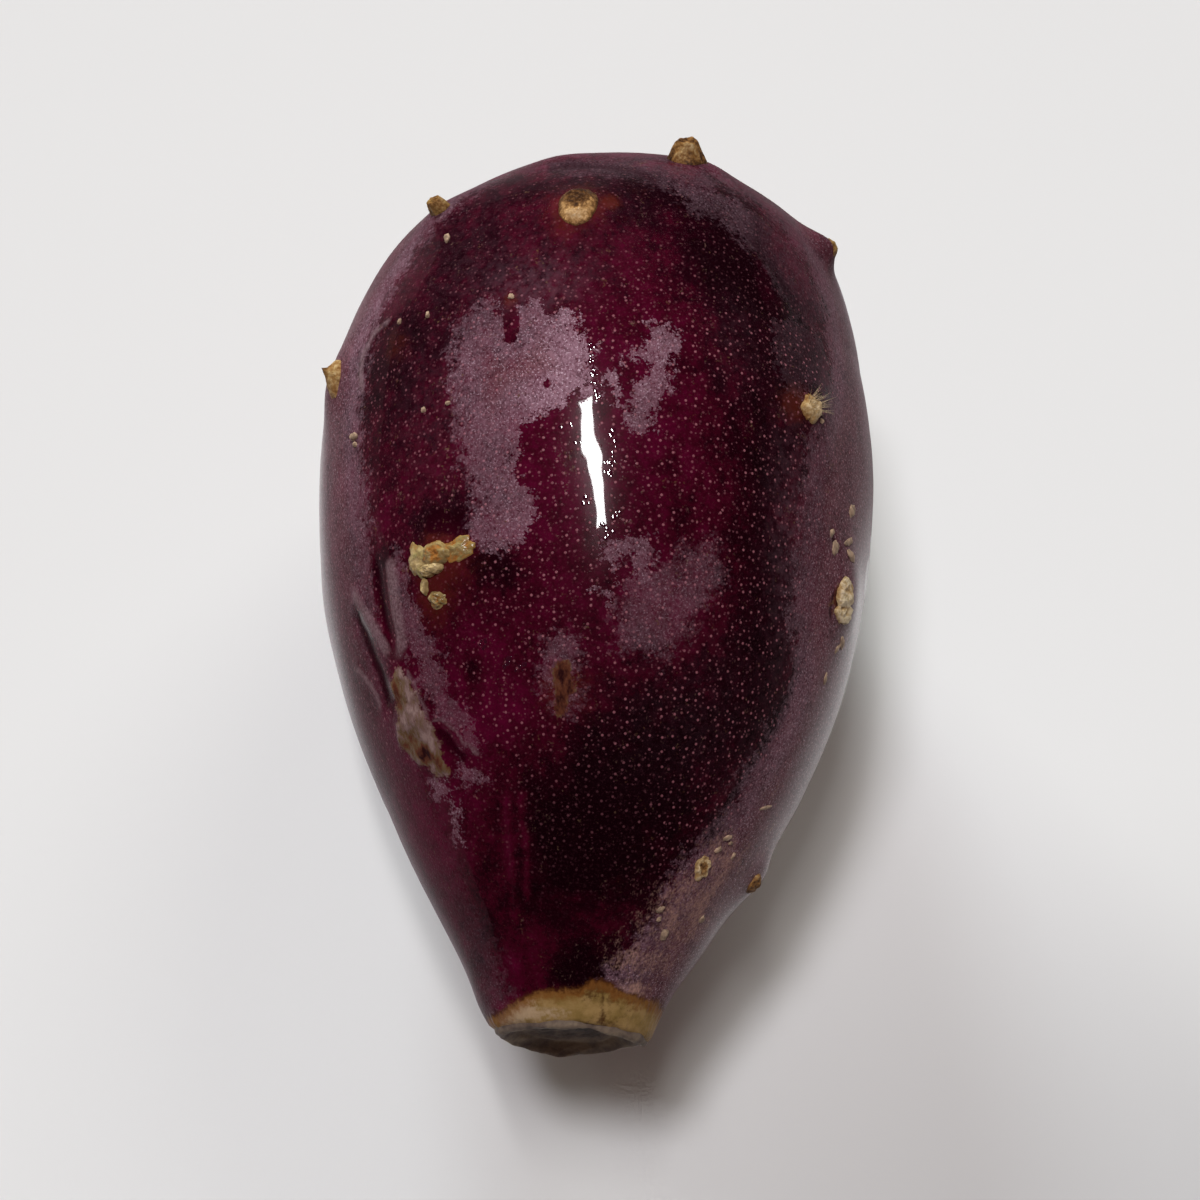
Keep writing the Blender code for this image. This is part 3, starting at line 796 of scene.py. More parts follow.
def soft(values, low, high):
    t = np.clip((values - low) / (high - low), 0, 1)
    return t * t * (3 - 2 * t)


def blob(spots, station, angle, across, along, turn=0.0):
    # 1 in the middle of an oval, falling smoothly to 0
    middle = unroll(station, angle)
    swing = math.radians(turn)
    x, y = (spots - middle).T
    u = (x * math.cos(swing) + y * math.sin(swing)) / across
    v = (-x * math.sin(swing) + y * math.cos(swing)) / along
    return np.exp(-(u * u + v * v))


def ovals(spots, rows):
    total = np.zeros(len(spots))
    for station, angle, across, along, strength in rows:
        total += strength * blob(spots, station, angle, across, along)
    return total


def band(values, start, full, fading, end):
    # 0 outside start and end, 1 from full to fading
    return soft(values, start, full) * (1 - soft(values, fading, end))


def ridge(away, halfWidth):
    return np.exp(-((away / halfWidth) ** 2))


def roughness(points, size, seed, octaves):
    # fractal noise at each point, about -1 to 1
    offset = Vector((seed * 13.7, seed * 7.1, -seed * 3.3))
    return np.array([noise.fractal(Vector(p) / size + offset, 1.0, 2.0, octaves) for p in points])


def keepLayer(mesh, label, values):
    layer = mesh.attributes.new(label, "FLOAT", "POINT")
    layer.data.foreach_set("value", np.asarray(values, dtype=np.float32))


# what lies where on the skin, as (station, degrees round)
waxPatches = {     # outline, how crisp its edge is, how thick the wax
    "main": (((0.687, 118.2), (0.718, 116.8), (0.734, 113.2), (0.729, 109.5), (0.700, 106.4), (0.724, 104.7),
              (0.730, 99.8), (0.711, 95.8), (0.690, 93.7), (0.672, 91.2), (0.674, 89.3), (0.643, 90.8),
              (0.615, 90.3), (0.613, 93.5), (0.606, 97.7), (0.593, 99.9), (0.599, 101.9), (0.570, 104.6),
              (0.539, 105.6), (0.527, 102.8), (0.505, 101.7), (0.485, 101.0), (0.470, 103.0), (0.459, 106.7),
              (0.451, 108.5), (0.463, 110.7), (0.480, 113.9), (0.511, 112.5), (0.544, 114.5), (0.578, 116.1),
              (0.623, 117.9)),
             0.95, 1.1),
    "upperRight": (((0.700, 79.8), (0.692, 76.7), (0.684, 73.6), (0.672, 73.3), (0.657, 76.0), (0.629, 75.7),
                    (0.612, 77.6), (0.584, 78.5), (0.576, 81.3), (0.588, 83.5), (0.610, 84.0), (0.633, 81.4),
                    (0.650, 79.5), (0.652, 83.6), (0.660, 84.2), (0.667, 79.9)), 0.9, 0.85),
    "upperBit": (((0.634, 87.0), (0.632, 85.1), (0.615, 84.7), (0.610, 86.2), (0.617, 87.7)), 1.0, 0.9),
    "island": (((0.457, 88.1), (0.459, 85.6), (0.452, 83.8), (0.437, 84.9), (0.412, 83.9), (0.414, 85.5),
                (0.432, 87.2), (0.442, 88.4)), 0.95, 0.95),
    "sliver": (((0.415, 89.5), (0.412, 87.1), (0.402, 85.9), (0.406, 88.3)), 1.0, 0.9),
    "islandRight": (((0.465, 82.1), (0.465, 79.2), (0.453, 77.7), (0.438, 78.1), (0.413, 77.2), (0.403, 80.2),
                     (0.422, 82.2), (0.442, 82.1)), 0.8, 0.90),
    "lowerRight": (((0.425, 83.2), (0.434, 76.2), (0.455, 71.0), (0.462, 65.0), (0.430, 64.0), (0.400, 67.0),
                    (0.368, 70.2), (0.350, 75.5), (0.360, 82.7), (0.390, 84.5)), 0.15, 0.50),
    "scab": (((0.480, 132.0), (0.462, 130.0), (0.430, 128.9), (0.393, 127.4), (0.360, 124.5), (0.325, 123.1),
              (0.300, 121.8), (0.272, 119.0), (0.259, 118.2), (0.270, 120.9), (0.288, 124.4), (0.302, 127.8),
              (0.319, 130.0), (0.351, 131.8), (0.383, 133.6), (0.424, 133.4)), 0.75, 0.50),
    "tail": (((0.248, 137.2), (0.244, 130.8), (0.221, 130.2), (0.199, 130.0), (0.178, 131.5), (0.182, 134.0),
              (0.208, 133.2), (0.224, 135.0), (0.234, 137.5)), 0.85, 0.95),
    "crownBand": (((0.946, 126), (0.926, 119), (0.914, 106), (0.900, 97), (0.896, 86), (0.884, 76),
                   (0.880, 68), (0.900, 60), (0.93, 62), (0.95, 90)), 0.30, 0.25),
    "midHalo": (((0.364, 99.8), (0.371, 96.6), (0.363, 93.6), (0.334, 91.9), (0.305, 92.9), (0.294, 95.7),
                 (0.300, 98.9), (0.325, 100.0)), 0.35, 0.55),
    "mottled": (((0.256, 125.8), (0.258, 122.3), (0.246, 119.8), (0.233, 120.9), (0.232, 125.4),
                 (0.245, 127.1)),
                0.7, 0.8),
    "crownRight": (((0.899, 75.4), (0.894, 67.3), (0.875, 57.5), (0.854, 48.0), (0.834, 40.3), (0.796, 36.3),
                    (0.760, 35.1), (0.733, 42.7), (0.757, 46.7), (0.793, 51.9), (0.816, 58.2), (0.842, 65.2),
                    (0.853, 71.0)), 0.6, 0.30),
    "aboveTuft": (((0.726, 52.8), (0.740, 47.3), (0.738, 40.1), (0.709, 34.0), (0.670, 36.2), (0.651, 45.9),
                   (0.649, 50.9), (0.680, 52.8)), 0.8, 0.28),
}
# below, an oval is (station, degrees, half width across and along in mm, strength)
bareSpots = (     # holes in the wax
    (0.693, 106.2, 0.55, 1.4, -3.5), (0.716, 98.7, 0.50, 0.55, -3.5), (0.631, 98.9, 0.45, 0.45, -3.5),
)
waxChanges = (     # where the wax is thicker or thinner, in groups
    ((0.62, 95, 4.0, 3.6, 0.95), (0.69, 94, 3.5, 5.0, 0.50)), ((0.718, 111, 5.0, 3.0, -0.38),),
    ((0.55, 107, 4.5, 6.0, -0.30), (0.66, 77, 4.0, 4.0, 0.45)),
)
hazes = (     # thin breaths of wax
    (0.30, 60, 9.0, 7.0, 0.02), (0.62, 122, 5.0, 9.0, 0.03), (0.745, 101, 3.6, 2.6, 0.10),
    (0.49, 48, 2.2, 9.0, 0.11), (0.765, 112, 3.0, 3.0, 0.02), (0.69, 62, 2.4, 4.0, 0.03),
)
chalkSpots = (
    (0.175, 38, 3.0, 2.2, 0.8), (0.06, 58, 4.5, 1.3, 0.7), (0.20, 18, 4.0, 7.0, 0.35),
    (0.034, 50, 2.2, 0.55, 1.3),
)
# polished wax along the two sides: strength, then degrees and station, each as start, full, fading, end
shines = (
    (0.75, (-32, -8, 16, 36), (0.02, 0.12, 0.45, 0.62)), (0.50, (156, 170, 195, 215), (0.25, 0.4, 0.8, 0.9)),
)
flanks = {     # outline, and the thickness of the wax by station
    "left": (((0.93, 124), (0.875, 127), (0.845, 133), (0.785, 138.5), (0.746, 141.0), (0.707, 142.2),
              (0.630, 142.0), (0.532, 140.6), (0.476, 139.5), (0.436, 140.7), (0.367, 139.5), (0.300, 139.0),
              (0.253, 140.5), (0.224, 141.1), (0.182, 138.2), (0.153, 136.3), (0.103, 134.3), (0.060, 133.5),
              (0.028, 136), (-0.1, 136), (-0.1, 268), (1.05, 268), (1.05, 125)),
             ((0.0, 0.35), (0.1, 0.20), (0.2, 0.09), (0.35, 0.27), (0.5, 0.64), (0.75, 1.05), (0.85, 0.70),
              (0.95, 0.4))),
    "right": (((1.05, 70), (0.938, 68), (0.900, 55), (0.860, 44), (0.820, 36.0), (0.780, 33.0), (0.740, 33.5),
               (0.700, 34.0), (0.660, 38.0), (0.640, 46.0), (0.607, 42.5), (0.586, 45.0), (0.524, 45.0),
               (0.460, 45.0), (0.399, 44.0), (0.378, 40.5), (0.363, 37.6), (0.334, 37.3), (0.295, 39.8),
               (0.244, 44.7), (0.201, 47.1), (0.172, 50.6), (0.132, 55.5), (0.093, 58), (0.06, 63),
               (0.028, 71.5), (-0.1, 70), (-0.1, -88), (1.05, -88)),
              ((0.0, 1.5), (0.2, 1.4), (0.35, 1.15), (0.5, 1.0), (0.65, 0.92), (0.8, 0.7), (0.95, 0.30))),
}
crownCap = ((1.05, 20), (0.93, 30), (0.925, 58.5), (0.938, 77.4), (0.942, 92.6), (0.942, 108.8),
            (0.935, 127.2), (0.92, 145), (1.05, 160))
wetLines = (     # bare hollows in the wax: line, half width in mm
    (((0.473, 139.2), (0.430, 138.9), (0.387, 137.9)), 0.60),
    (((0.436, 147.4), (0.394, 145.0), (0.359, 143.1), (0.322, 141.4)), 0.70),
    (((0.291, 130.2), (0.276, 126.8), (0.254, 122.6)), 0.45),
)
folds = (     # line, half width in mm, rise in mm (valleys below 0)
    (((0.478, 133.4), (0.435, 134.1), (0.399, 134.6), (0.362, 135.2)), 0.85, 0.28),
    (((0.455, 148.8), (0.422, 144.8), (0.400, 141.8), (0.368, 138.1)), 0.80, 0.30),
    (((0.379, 155.2), (0.356, 149.2), (0.336, 146.7), (0.320, 146.3)), 0.50, 0.22),
    (((0.355, 134.8), (0.336, 132.5), (0.313, 131.8), (0.297, 131.0)), 0.35, 0.20),
    (((0.440, 130.5), (0.390, 130.6), (0.340, 128.6), (0.300, 125.6)), 0.35, 0.12),
    (((0.430, 128.6), (0.380, 128.2), (0.330, 126.0)), 0.30, 0.10),
    (((0.296, 130.7), (0.299, 128.4), (0.290, 126.2), (0.274, 123.1), (0.263, 120.3), (0.258, 119.2)),
     0.38, 0.24),
    (((0.477, 138.1), (0.445, 138.0), (0.409, 138.1), (0.378, 137.5)), 0.55, -0.32),
    (((0.437, 148.0), (0.409, 147.0), (0.375, 144.2), (0.343, 143.0), (0.319, 143.0)), 0.65, -0.36),
    (((0.291, 130.2), (0.276, 126.8), (0.254, 122.6)), 0.60, -0.28),
    (((0.745, 134.4), (0.734, 139.7), (0.715, 143.2), (0.684, 142.9), (0.658, 141.6)), 0.45, 0.28),
    (((0.917, 108.1), (0.927, 104.9), (0.924, 93.4), (0.908, 82.4), (0.877, 76.6)), 0.9, -0.20),
    (((0.860, 68.5), (0.850, 61.2), (0.820, 55.4), (0.788, 50.6), (0.763, 46.6), (0.730, 44.5)), 0.55, -0.16),
    (((0.815, 71.2), (0.780, 65.8), (0.756, 58.9), (0.729, 53.7)), 0.50, -0.10),
    (((0.499, 124.2), (0.491, 119.3), (0.486, 115.2)), 0.9, -0.5),
    (((0.522, 34.2), (0.506, 32.6), (0.494, 30.2)), 0.35, -0.35),
    (((0.454, 30.8), (0.436, 30.6), (0.422, 29.4)), 0.30, -0.30),
    (((0.390, 39.3), (0.363, 37.6), (0.334, 37.3), (0.295, 39.8), (0.244, 44.7), (0.201, 47.1)), 0.45, -0.10),
    (((0.224, 113.0), (0.158, 115.4), (0.092, 118.7)), 0.40, 0.10),
    (((0.229, 108.7), (0.167, 109.2), (0.115, 111.3)), 0.40, 0.08),
    (((0.018, 147.3), (0.009, 153.9), (0.001, 153.2)), 0.35, 0.20),
    (((0.030, 73.5), (0.012, 71.4), (-0.001, 68.1)), 0.35, -0.10),
)
creaseShading = (     # line, half width in mm, lighter or darker; the darker lines lie in the fold valleys and are painted shade
    (((0.917, 108.1), (0.927, 104.9), (0.924, 93.4), (0.908, 82.4), (0.877, 76.6), (0.858, 70.9),
      (0.832, 67.7)),
     1.2, -1.1),
    (((0.860, 68.5), (0.850, 61.2), (0.820, 55.4), (0.788, 50.6), (0.763, 46.6), (0.730, 44.5)), 0.5, -1.2),
    (((0.815, 71.2), (0.780, 65.8), (0.756, 58.9), (0.729, 53.7)), 0.6, -1.0),
    (((0.390, 39.3), (0.363, 37.6), (0.334, 37.3), (0.295, 39.8), (0.244, 44.7), (0.201, 47.1),
      (0.172, 49.6)),
     0.40, -1.2),
    (((0.224, 113.0), (0.158, 115.4), (0.092, 118.7)), 0.5, 0.7),
    (((0.229, 108.7), (0.167, 109.2), (0.115, 111.3)), 0.35, 0.8),
    (((0.030, 73.5), (0.012, 71.4), (-0.001, 68.1)), 0.16, -0.45),
    (((0.016, 146.3), (0.009, 151.9), (0.001, 151.2)), 0.30, -1.2),
)
scars = (     # outline, depth in mm (below 0 sunken), tone from dark to pale
    (((0.336, 98.5), (0.342, 95.4), (0.324, 93.7), (0.303, 95.2), (0.291, 97.2), (0.306, 98.6)), -0.16, 0.16),
    (((0.358, 138.0), (0.357, 135.9), (0.339, 133.8), (0.320, 132.0), (0.302, 131.3), (0.285, 130.2),
      (0.271, 130.8), (0.246, 130.1), (0.246, 133.7), (0.262, 137.0), (0.269, 141.1), (0.279, 143.2),
      (0.300, 141.6), (0.319, 139.9), (0.339, 139.6)), 0.14, 0.74),
    (((0.296, 140.0), (0.296, 136.2), (0.285, 134.7), (0.270, 137.7), (0.271, 141.9), (0.281, 142.8)),
     -0.12, 0.46),
    (((0.350, 138.8), (0.348, 136.8), (0.325, 136.6), (0.305, 138.9), (0.320, 140.6)), 0.0, 0.34),
    (((0.263, 132.8), (0.264, 130.7), (0.252, 130.3), (0.250, 132.7)), -0.05, 0.36),
    (((0.277, 136.0), (0.278, 134.0), (0.265, 133.9), (0.263, 136.1)), -0.15, 0.0),
    (((0.462, 29.8), (0.449, 28.0), (0.428, 25.5), (0.424, 26.0), (0.440, 30.2)), 0.0, 0.08),
)
tones = (     # lighter or darker ovals
    (0.555, 91.0, 6.5, 6.5, 0.55), (0.71, 46.0, 4.5, 5.0, -1.1), (0.60, 51.0, 2.6, 4.5, -0.7),
    (0.245, 95.0, 5.0, 5.0, -0.20), (0.078, 78.0, 4.0, 2.2, 0.45),
    (0.152, 88.1, 7.5, 7.6, -1.4), (0.216, 79.9, 7.0, 5.0, -0.7), (0.267, 72.0, 7.0, 4.0, -0.5),
    (0.850, 62.0, 4.0, 4.5, -1.1), (0.753, 61.3, 3.6, 5.5, -0.9), (0.661, 60.2, 3.2, 5.0, -0.3),
    (0.569, 57.4, 3.0, 5.0, -0.7), (0.468, 54.4, 3.5, 5.0, -0.8), (0.377, 52.0, 4.0, 5.0, -0.8),
    (0.297, 50.0, 4.0, 4.5, -0.5), (0.884, 103.9, 4.0, 1.6, -0.8), (0.886, 80.1, 4.5, 1.6, -0.8),
    (0.850, 83.0, 2.6, 3.0, -1.0), (0.775, 68.0, 3.0, 3.0, -0.7), (0.700, 127.0, 6.0, 3.5, -0.8),
    # the darker oval at station 0.499, 121.2 degrees is painted shade in the dent above the broken pad
    (0.499, 121.2, 3.0, 1.8, -1.0), (0.438, 108.1, 2.6, 2.2, -0.8), (0.337, 117.0, 0.8, 1.6, -0.9),
    (0.682, 104.5, 1.0, 1.2, -0.7), (0.357, 105.0, 2.0, 1.0, -0.35), (0.357, 113.0, 4.2, 3.6, 0.55),
    (0.287, 108.0, 5.5, 2.6, 0.50), (0.052, 88.0, 4.5, 1.8, -0.9), (0.060, 116.0, 3.4, 2.2, 0.9),
    (0.040, 76.0, 4.0, 1.4, -0.8), (0.105, 84.0, 3.0, 1.8, 0.6), (0.703, 87.4, 3.0, 4.0, 0.30),
    (0.601, 131.6, 4.0, 6.0, -0.25), (0.519, 66.3, 4.0, 5.0, 0.10), (0.469, 104.2, 4.0, 3.0, 0.10),
    (0.64, 80.0, 3.5, 5.0, 0.15), (0.40, 76.0, 5.0, 4.0, 0.25), (0.315, 65.0, 6.0, 4.0, -0.3),
    (0.22, 146.0, 9.0, 10.0, 0.7), (0.155, 115.1, 1.6, 4.0, 0.5), (0.155, 113.1, 0.8, 4.5, -0.4),
    (0.84, 120.0, 5.0, 5.0, -0.6), (0.79, 118.0, 6.0, 4.0, -0.3), (0.250, 97.5, 1.4, 4.5, 0.7),
    (0.012, 130.0, 2.6, 0.9, 1.8), (0.004, 142.0, 1.4, 0.6, 1.3), (0.010, 100.0, 1.5, 0.7, 0.7),
    (0.003, 66.0, 1.5, 0.5, -0.9), (0.024, 82.0, 1.2, 0.5, -0.6), (0.016, 116.0, 3.0, 0.4, -0.5),
    (0.018, 52.0, 2.2, 1.0, -0.3), (0.022, 85.0, 2.0, 0.8, 0.3),
)
swellings = (     # rise in mm
    (0.565, 98.0, 4.2, 3.0, 0.07), (0.600, 83.0, 4.2, 3.5, 0.04),
)
flushes = (     # red-brown haloes: station, degrees, radius in mm, strength
    (0.842, 96.0, 2.7, 0.85), (0.851, 89.0, 1.0, 1.0), (0.732, 106.7, 0.7, 1.0), (0.634, 48.5, 1.9, 0.8),
    (0.449, 121.3, 3.0, 0.8), (0.418, 123.1, 2.3, 0.8), (0.317, 96.1, 2.2, 0.6), (0.704, 132.2, 1.6, 0.5),
)

print("shaping the skin")
points = pointsOf(skin.data)
stations, angles = placesOf(points)
spots = unroll(stations, angles)
normals = normalsOf(skin.data)
grain = roughness(points, 1.3, seed=2, octaves=3)
swirl = roughness(points, 5.0, seed=5, octaves=2)

fold = np.zeros(len(points))
for line, halfWidth, rise in folds:
    away, share = nearLine(spots + 0.35 * np.stack([swirl, grain], axis=-1), line)
    taper = band(share, 0, 0.12, 0.85, 1.0) * 0.75 + 0.25
    fold += rise * taper * ridge(away, halfWidth)

# painted shade: the pigment tone is darkened along the creases, and lightened along two low ridges
seam = np.zeros(len(points))
for line, halfWidth, change in creaseShading:
    away, share = nearLine(spots + 0.30 * np.stack([swirl, grain], axis=-1), line)
    seam += change * band(share, 0, 0.10, 0.90, 1.0) * ridge(away, halfWidth)

scar = np.zeros(len(points))
brown = np.zeros(len(points))
scarTone = np.full(len(points), 0.5)
for outline, depth, tint in scars:
    mask = soft(insideOf(spots, outline) + 0.45 * grain, -0.45, 0.35)
    scar += mask * (depth + 0.14 * grain)
    brown = np.maximum(brown, mask)
    scarTone += mask * (tint - scarTone)

# the cut rim is uneven, and the right flank draws in beside it
rimTurns, rimReach = zip(*fruit["rimShift"])
rimShift = ridge(stations, fruit["rimDepth"]) * (0.10 * grain + np.interp(angles, rimTurns, rimReach))
draw = np.zeros(len(points))
for station, angle, wide, inward in fruit["rimDraw"]:
    draw += inward * ridge(stations - station, fruit["drawDepth"]) * ridge(angles - angle, wide)
# a fold shows more by its colour than by its height
raised = 0.45 * fold + scar + ovals(spots, swellings) - draw
moved = points + normals * raised[:, None] - np.array(leanWay)[None, :] * rimShift[:, None]
moved[:, 2] = np.maximum(moved[:, 2], 0)
skin.data.vertices.foreach_set("co", (moved * unit).ravel())

print("marking the skin")
bloom = np.full(len(points), -9.0)
crisp = np.zeros(len(points))
wax = np.zeros(len(points))
for outline, crispness, thickness in waxPatches.values():
    inside = insideOf(spots, outline)
    crisp = np.where(inside > bloom, crispness, crisp)
    wax = np.where(inside > bloom, thickness, wax)
    bloom = np.maximum(bloom, inside)
for outline, thicknesses in flanks.values():
    inside = insideOf(spots, outline)
    hidden = soft(inside, 9.0, 16.0)     # bare glossy windows in the wax of the far side
    inside = np.where(inside > 0, np.minimum(inside, 4) - hidden * (6.5 * soft(swirl, 0.12, 0.35)), inside)
    thickness = np.interp(stations, *np.transpose(thicknesses))
    crisp = np.where(inside > bloom, 0, crisp)
    wax = np.where(inside > bloom, thickness, wax)
    bloom = np.maximum(bloom, inside)
inside = insideOf(spots, crownCap) * 0.5
wax = np.where(inside > bloom, 0.3, wax)
bloom = np.maximum(bloom, inside)
for line, halfWidth in wetLines:
    away = nearLine(spots + 0.25 * np.stack([swirl, grain], axis=-1), line)[0]
    bloom = np.minimum(bloom, 4.0 * (away - halfWidth))
bloom += ovals(spots, bareSpots)
for group in waxChanges:
    wax *= 1 + ovals(spots, group)
wax *= 1 - 0.40 * band(angles, 32, 41, 54, 58)     # thinner down the right side
inMain = soft(insideOf(spots, waxPatches["main"][0]), -3.0, 0.0)
fading = soft(angles, 104, 117) * inMain
crisp *= 1 - 0.80 * fading
wax *= 1 - 0.22 * fading
haze = ovals(spots, hazes) + 0.018 * soft(stations, 0.70, 0.80) * soft(angles, 72, 92)
# the bare skin is duller at the crown, low on the right and beside the left flank
crownSide = soft(stations, 0.60, 0.75) * (1 - soft(angles, 58, 70))
stemSide = (1 - soft(angles, 50, 60)) * (1 - soft(stations, 0.50, 0.62))
gloss = (1 - 0.75 * soft(stations, 0.855, 0.89) - 0.6 * crownSide) * (1 - 0.7 * stemSide)
gloss = np.clip(gloss * (1 - 0.6 * soft(angles, 134, 139)), 0.1, 1.0)
shine = sum(strength * band(angles, *turnBand) * band(stations, *stationBand)
            for strength, turnBand, stationBand in shines)
tone = seam + ovals(spots, tones)
flush = np.zeros(len(points))
for station, angle, radius, strength in flushes:
    flush = np.maximum(flush, strength * blob(spots, station, angle, radius, radius))
rindTurns, rindEnds = zip(*fruit["rindLine"])
rind = (np.interp(angles, rindTurns, rindEnds) - stations) * fruit["length"] + 0.25 * swirl + 0.2 * grain
chalky = blob(spots, 0.11, 40, 5.5, 3.6, turn=-20) + ovals(spots, chalkSpots)

# the dish where the flower stood is corky, in rings
straight = (points - (0, 0, lift)) @ np.array(leaning)
fromAxis = np.hypot(straight[:, 0] - swayAt(stations), straight[:, 2])
dishEdge = fruit["crownRadius"]
inDish = soft(-fromAxis + 0.5 * grain, -dishEdge + 0.2, -dishEdge + 1.4) * (stations > 0.9)
brown = np.maximum(brown, inDish)
scarTone += inDish * (0.50 + 0.16 * np.sin(4.5 * fromAxis + 1.5 * grain) + 0.15 * swirl - scarTone)
dotted = soft(stations, 0.08, 0.2) * (1 - 0.75 * soft(stations, 0.66, 0.82))
dotted *= 1 - 0.45 * soft(angles, 108, 125)
dotted *= 0.35 + 0.65 * np.maximum(soft(stations, 0.2, 0.3), 1 - soft(angles, 60, 80))
for label, values in {"bloom": bloom, "tone": tone, "flush": flush, "wax": wax, "crisp": crisp, "haze": haze,
                      "rind": rind, "fold": fold, "brown": brown, "scarTone": scarTone, "chalky": chalky,
                      "dotted": dotted, "gloss": gloss, "shine": shine}.items():
    keepLayer(skin.data, label, values)
skin.data.update()


# seats on the finished skin
skinFaces = [tuple(face.vertices) for face in skin.data.polygons]
surface = BVHTree.FromPolygons([Vector(p) for p in moved], skinFaces)
seat = {"normalReach": 1.2, "dropFrom": 6.0, "leastHeight": 0.05}     # mm


def middleAt(station):
    place = leaning @ Vector((swayAt(station), (station - fruit["balance"]) * fruit["length"], 0))
    place.z += lift
    return place


def onSkin(station, angle):
    # the skin's point in mm, and the outward, stem-to-crown and sideways directions there
    turn = math.radians(angle)
    way = (leaning @ Vector((math.cos(turn), 0, fruit["heightToWidth"] * math.sin(turn)))).normalized()
    place = surface.ray_cast(middleAt(station), way)[0]
    out = smoothNormal(place)
    along = (leanWay - leanWay.dot(out) * out).normalized()
    return place, out, along, along.cross(out)


def smoothNormal(place):
    total = Vector()
    for near in surface.find_nearest_range(place, seat["normalReach"]):
        total += near[1]
    return total.normalized() if total.length > 0 else surface.find_nearest(place)[1]


def dropTo(place, out):
    hit = surface.ray_cast(place + seat["dropFrom"] * out, -out)[0]
    return hit if hit is not None else surface.find_nearest(place)[0]


def smoothFaces(mesh):
    for face in mesh.polygons:
        face.use_smooth = True


def addObject(name, mesh, material):
    made = bpy.data.objects.new(name, mesh)
    bpy.context.scene.collection.objects.link(made)
    mesh.materials.append(material)
    smoothFaces(mesh)
    return made


def cutSeat():
    # the middle of the cut, facing away from the fruit
    right, up = cutLook["slant"]
    tilt = Vector((-right, -fruit["cutRadius"], -up / fruit["heightToWidth"]))
    return middleAt(0), (leaning @ tilt).normalized(), Vector((0, 0, 1)), Vector((1, 0, 0))


padBase = {     # what a pad has unless its own dictionary says otherwise
    "rings": 22, "around": 56, "turn": 0, "tipAlong": 0.0, "tipAcross": 0.0, "wobble": 0.15, "grain": 0.5,
    "lumps": 1.4, "rough": 0.1, "lumpy": 0.1, "patchy": 0.12, "lit": 0.0, "green": 0.0, "wrinkles": 0.0,
    "pits": (), "underRings": 2, "underStep": 0.45, "underShrink": 0.35, "finish": "cork",
}


def growPad(name, look, material):
    # a closed corky pad that follows the skin and sinks into it at its edge
    look = {**padBase, **look}
    place, out, along, across = onSkin(*look["at"]) if "at" in look else cutSeat()
    out = (out + along * look["tipAlong"] + across * look["tipAcross"]).normalized()
    along = (along - along.dot(out) * out).normalized()
    across = along.cross(out)
    rings, around, seed = look["rings"], look["around"], look["seed"]
    wide, long = look["wide"], look["long"]
    swing = Matrix.Rotation(math.radians(look["turn"]), 3, "Z")
    points, toneList, greenList, faces = [], [], [], []
    for ring in range(rings + look["underRings"] + 1):
        share = min(ring / rings, 1.0)
        below = max(ring - rings, 0)     # the last rings close the pad under the skin
        reach = share - look["underShrink"] * below
        fade = 1 - 0.7 * float(soft(share, 0.8, 1.0))
        # painted light: the lit share makes the pad's side wall lighter towards the stem and darker towards
        # the crown
        lit = look["lit"] * float(band(share, 0.35, 0.6, 0.8, 1.0))
        for step in range(around):
            turn = math.tau * step / around
            away = Vector((math.cos(turn), math.sin(turn), 0))
            edge = 1 + look["wobble"] * noise.fractal(away * 1.3 + Vector((seed, 0, 3)), 1.0, 2.0, 3)
            side = Vector((away.x * wide / 2 * reach * edge, away.y * long / 2 * reach * edge, 0))
            side.rotate(swing)
            base = dropTo(place + across * side.x + along * side.y, out)
            local = side + Vector((seed * 7.0, 0, share))
            crumbly = noise.fractal(local / look["grain"], 0.9, 2.1, 3)
            lump = noise.noise(local / look["lumps"])
            height = float(np.interp(share, *zip(*look["profile"])))
            height += fade * (look["rough"] * crumbly + look["lumpy"] * lump)
            if below:
                height = -look["underStep"] * below
            tone = float(np.interp(share, *zip(*look["tones"])))
            tone += look["patchy"] * (crumbly + lump) - lit * away.y
            if look["wrinkles"] and not below:
                ripple = noise.fractal(Vector((share * 6.5, seed, 2)) + away * 0.9, 0.8, 2.0, 3)
                height += 1.4 * fade * look["wrinkles"] * ripple
                tone += 0.5 * look["wrinkles"] * ripple
            # each pit is sunk, and its tone darkened by the same amount: painted shade in the pit
            for pitX, pitY, pitWide, pitLong, pitDepth in look["pits"]:
                pit = math.exp(-(((side.x - pitX) / pitWide) ** 2) - ((side.y - pitY) / pitLong) ** 2)
                height -= pitDepth * pit
                tone -= pitDepth * pit
            if share < 0.9:
                height = max(height, seat["leastHeight"])     # the skin never shows through
            points.append(base + out * height)
            toneList.append(tone)
            greenList.append(look["green"] * float(soft(lump + 0.3 * crumbly, -0.1, 0.4)))
    rows = len(points) // around
    for ring in range(rows - 1):
        for step in range(around):
            a = ring * around + step
            b = ring * around + (step + 1) % around
            if ring:
                faces.append((a, a + around, b + around, b))
            else:
                faces.append((0, a + around, b + around))
    faces.append(tuple(reversed(range((rows - 1) * around, rows * around))))
    mesh = plainMesh(name, [p * unit for p in points], faces,
                     {"tone": ("FLOAT", toneList), "green": ("FLOAT", greenList)})
    shape = bmesh.new()
    shape.from_mesh(mesh)
    loose = [v for v in shape.verts if not v.link_faces]
    bmesh.ops.delete(shape, geom=loose, context="VERTS")
    bmesh.ops.recalc_face_normals(shape, faces=shape.faces)
    shape.to_mesh(mesh)
    shape.free()
    return addObject(name, mesh, material)


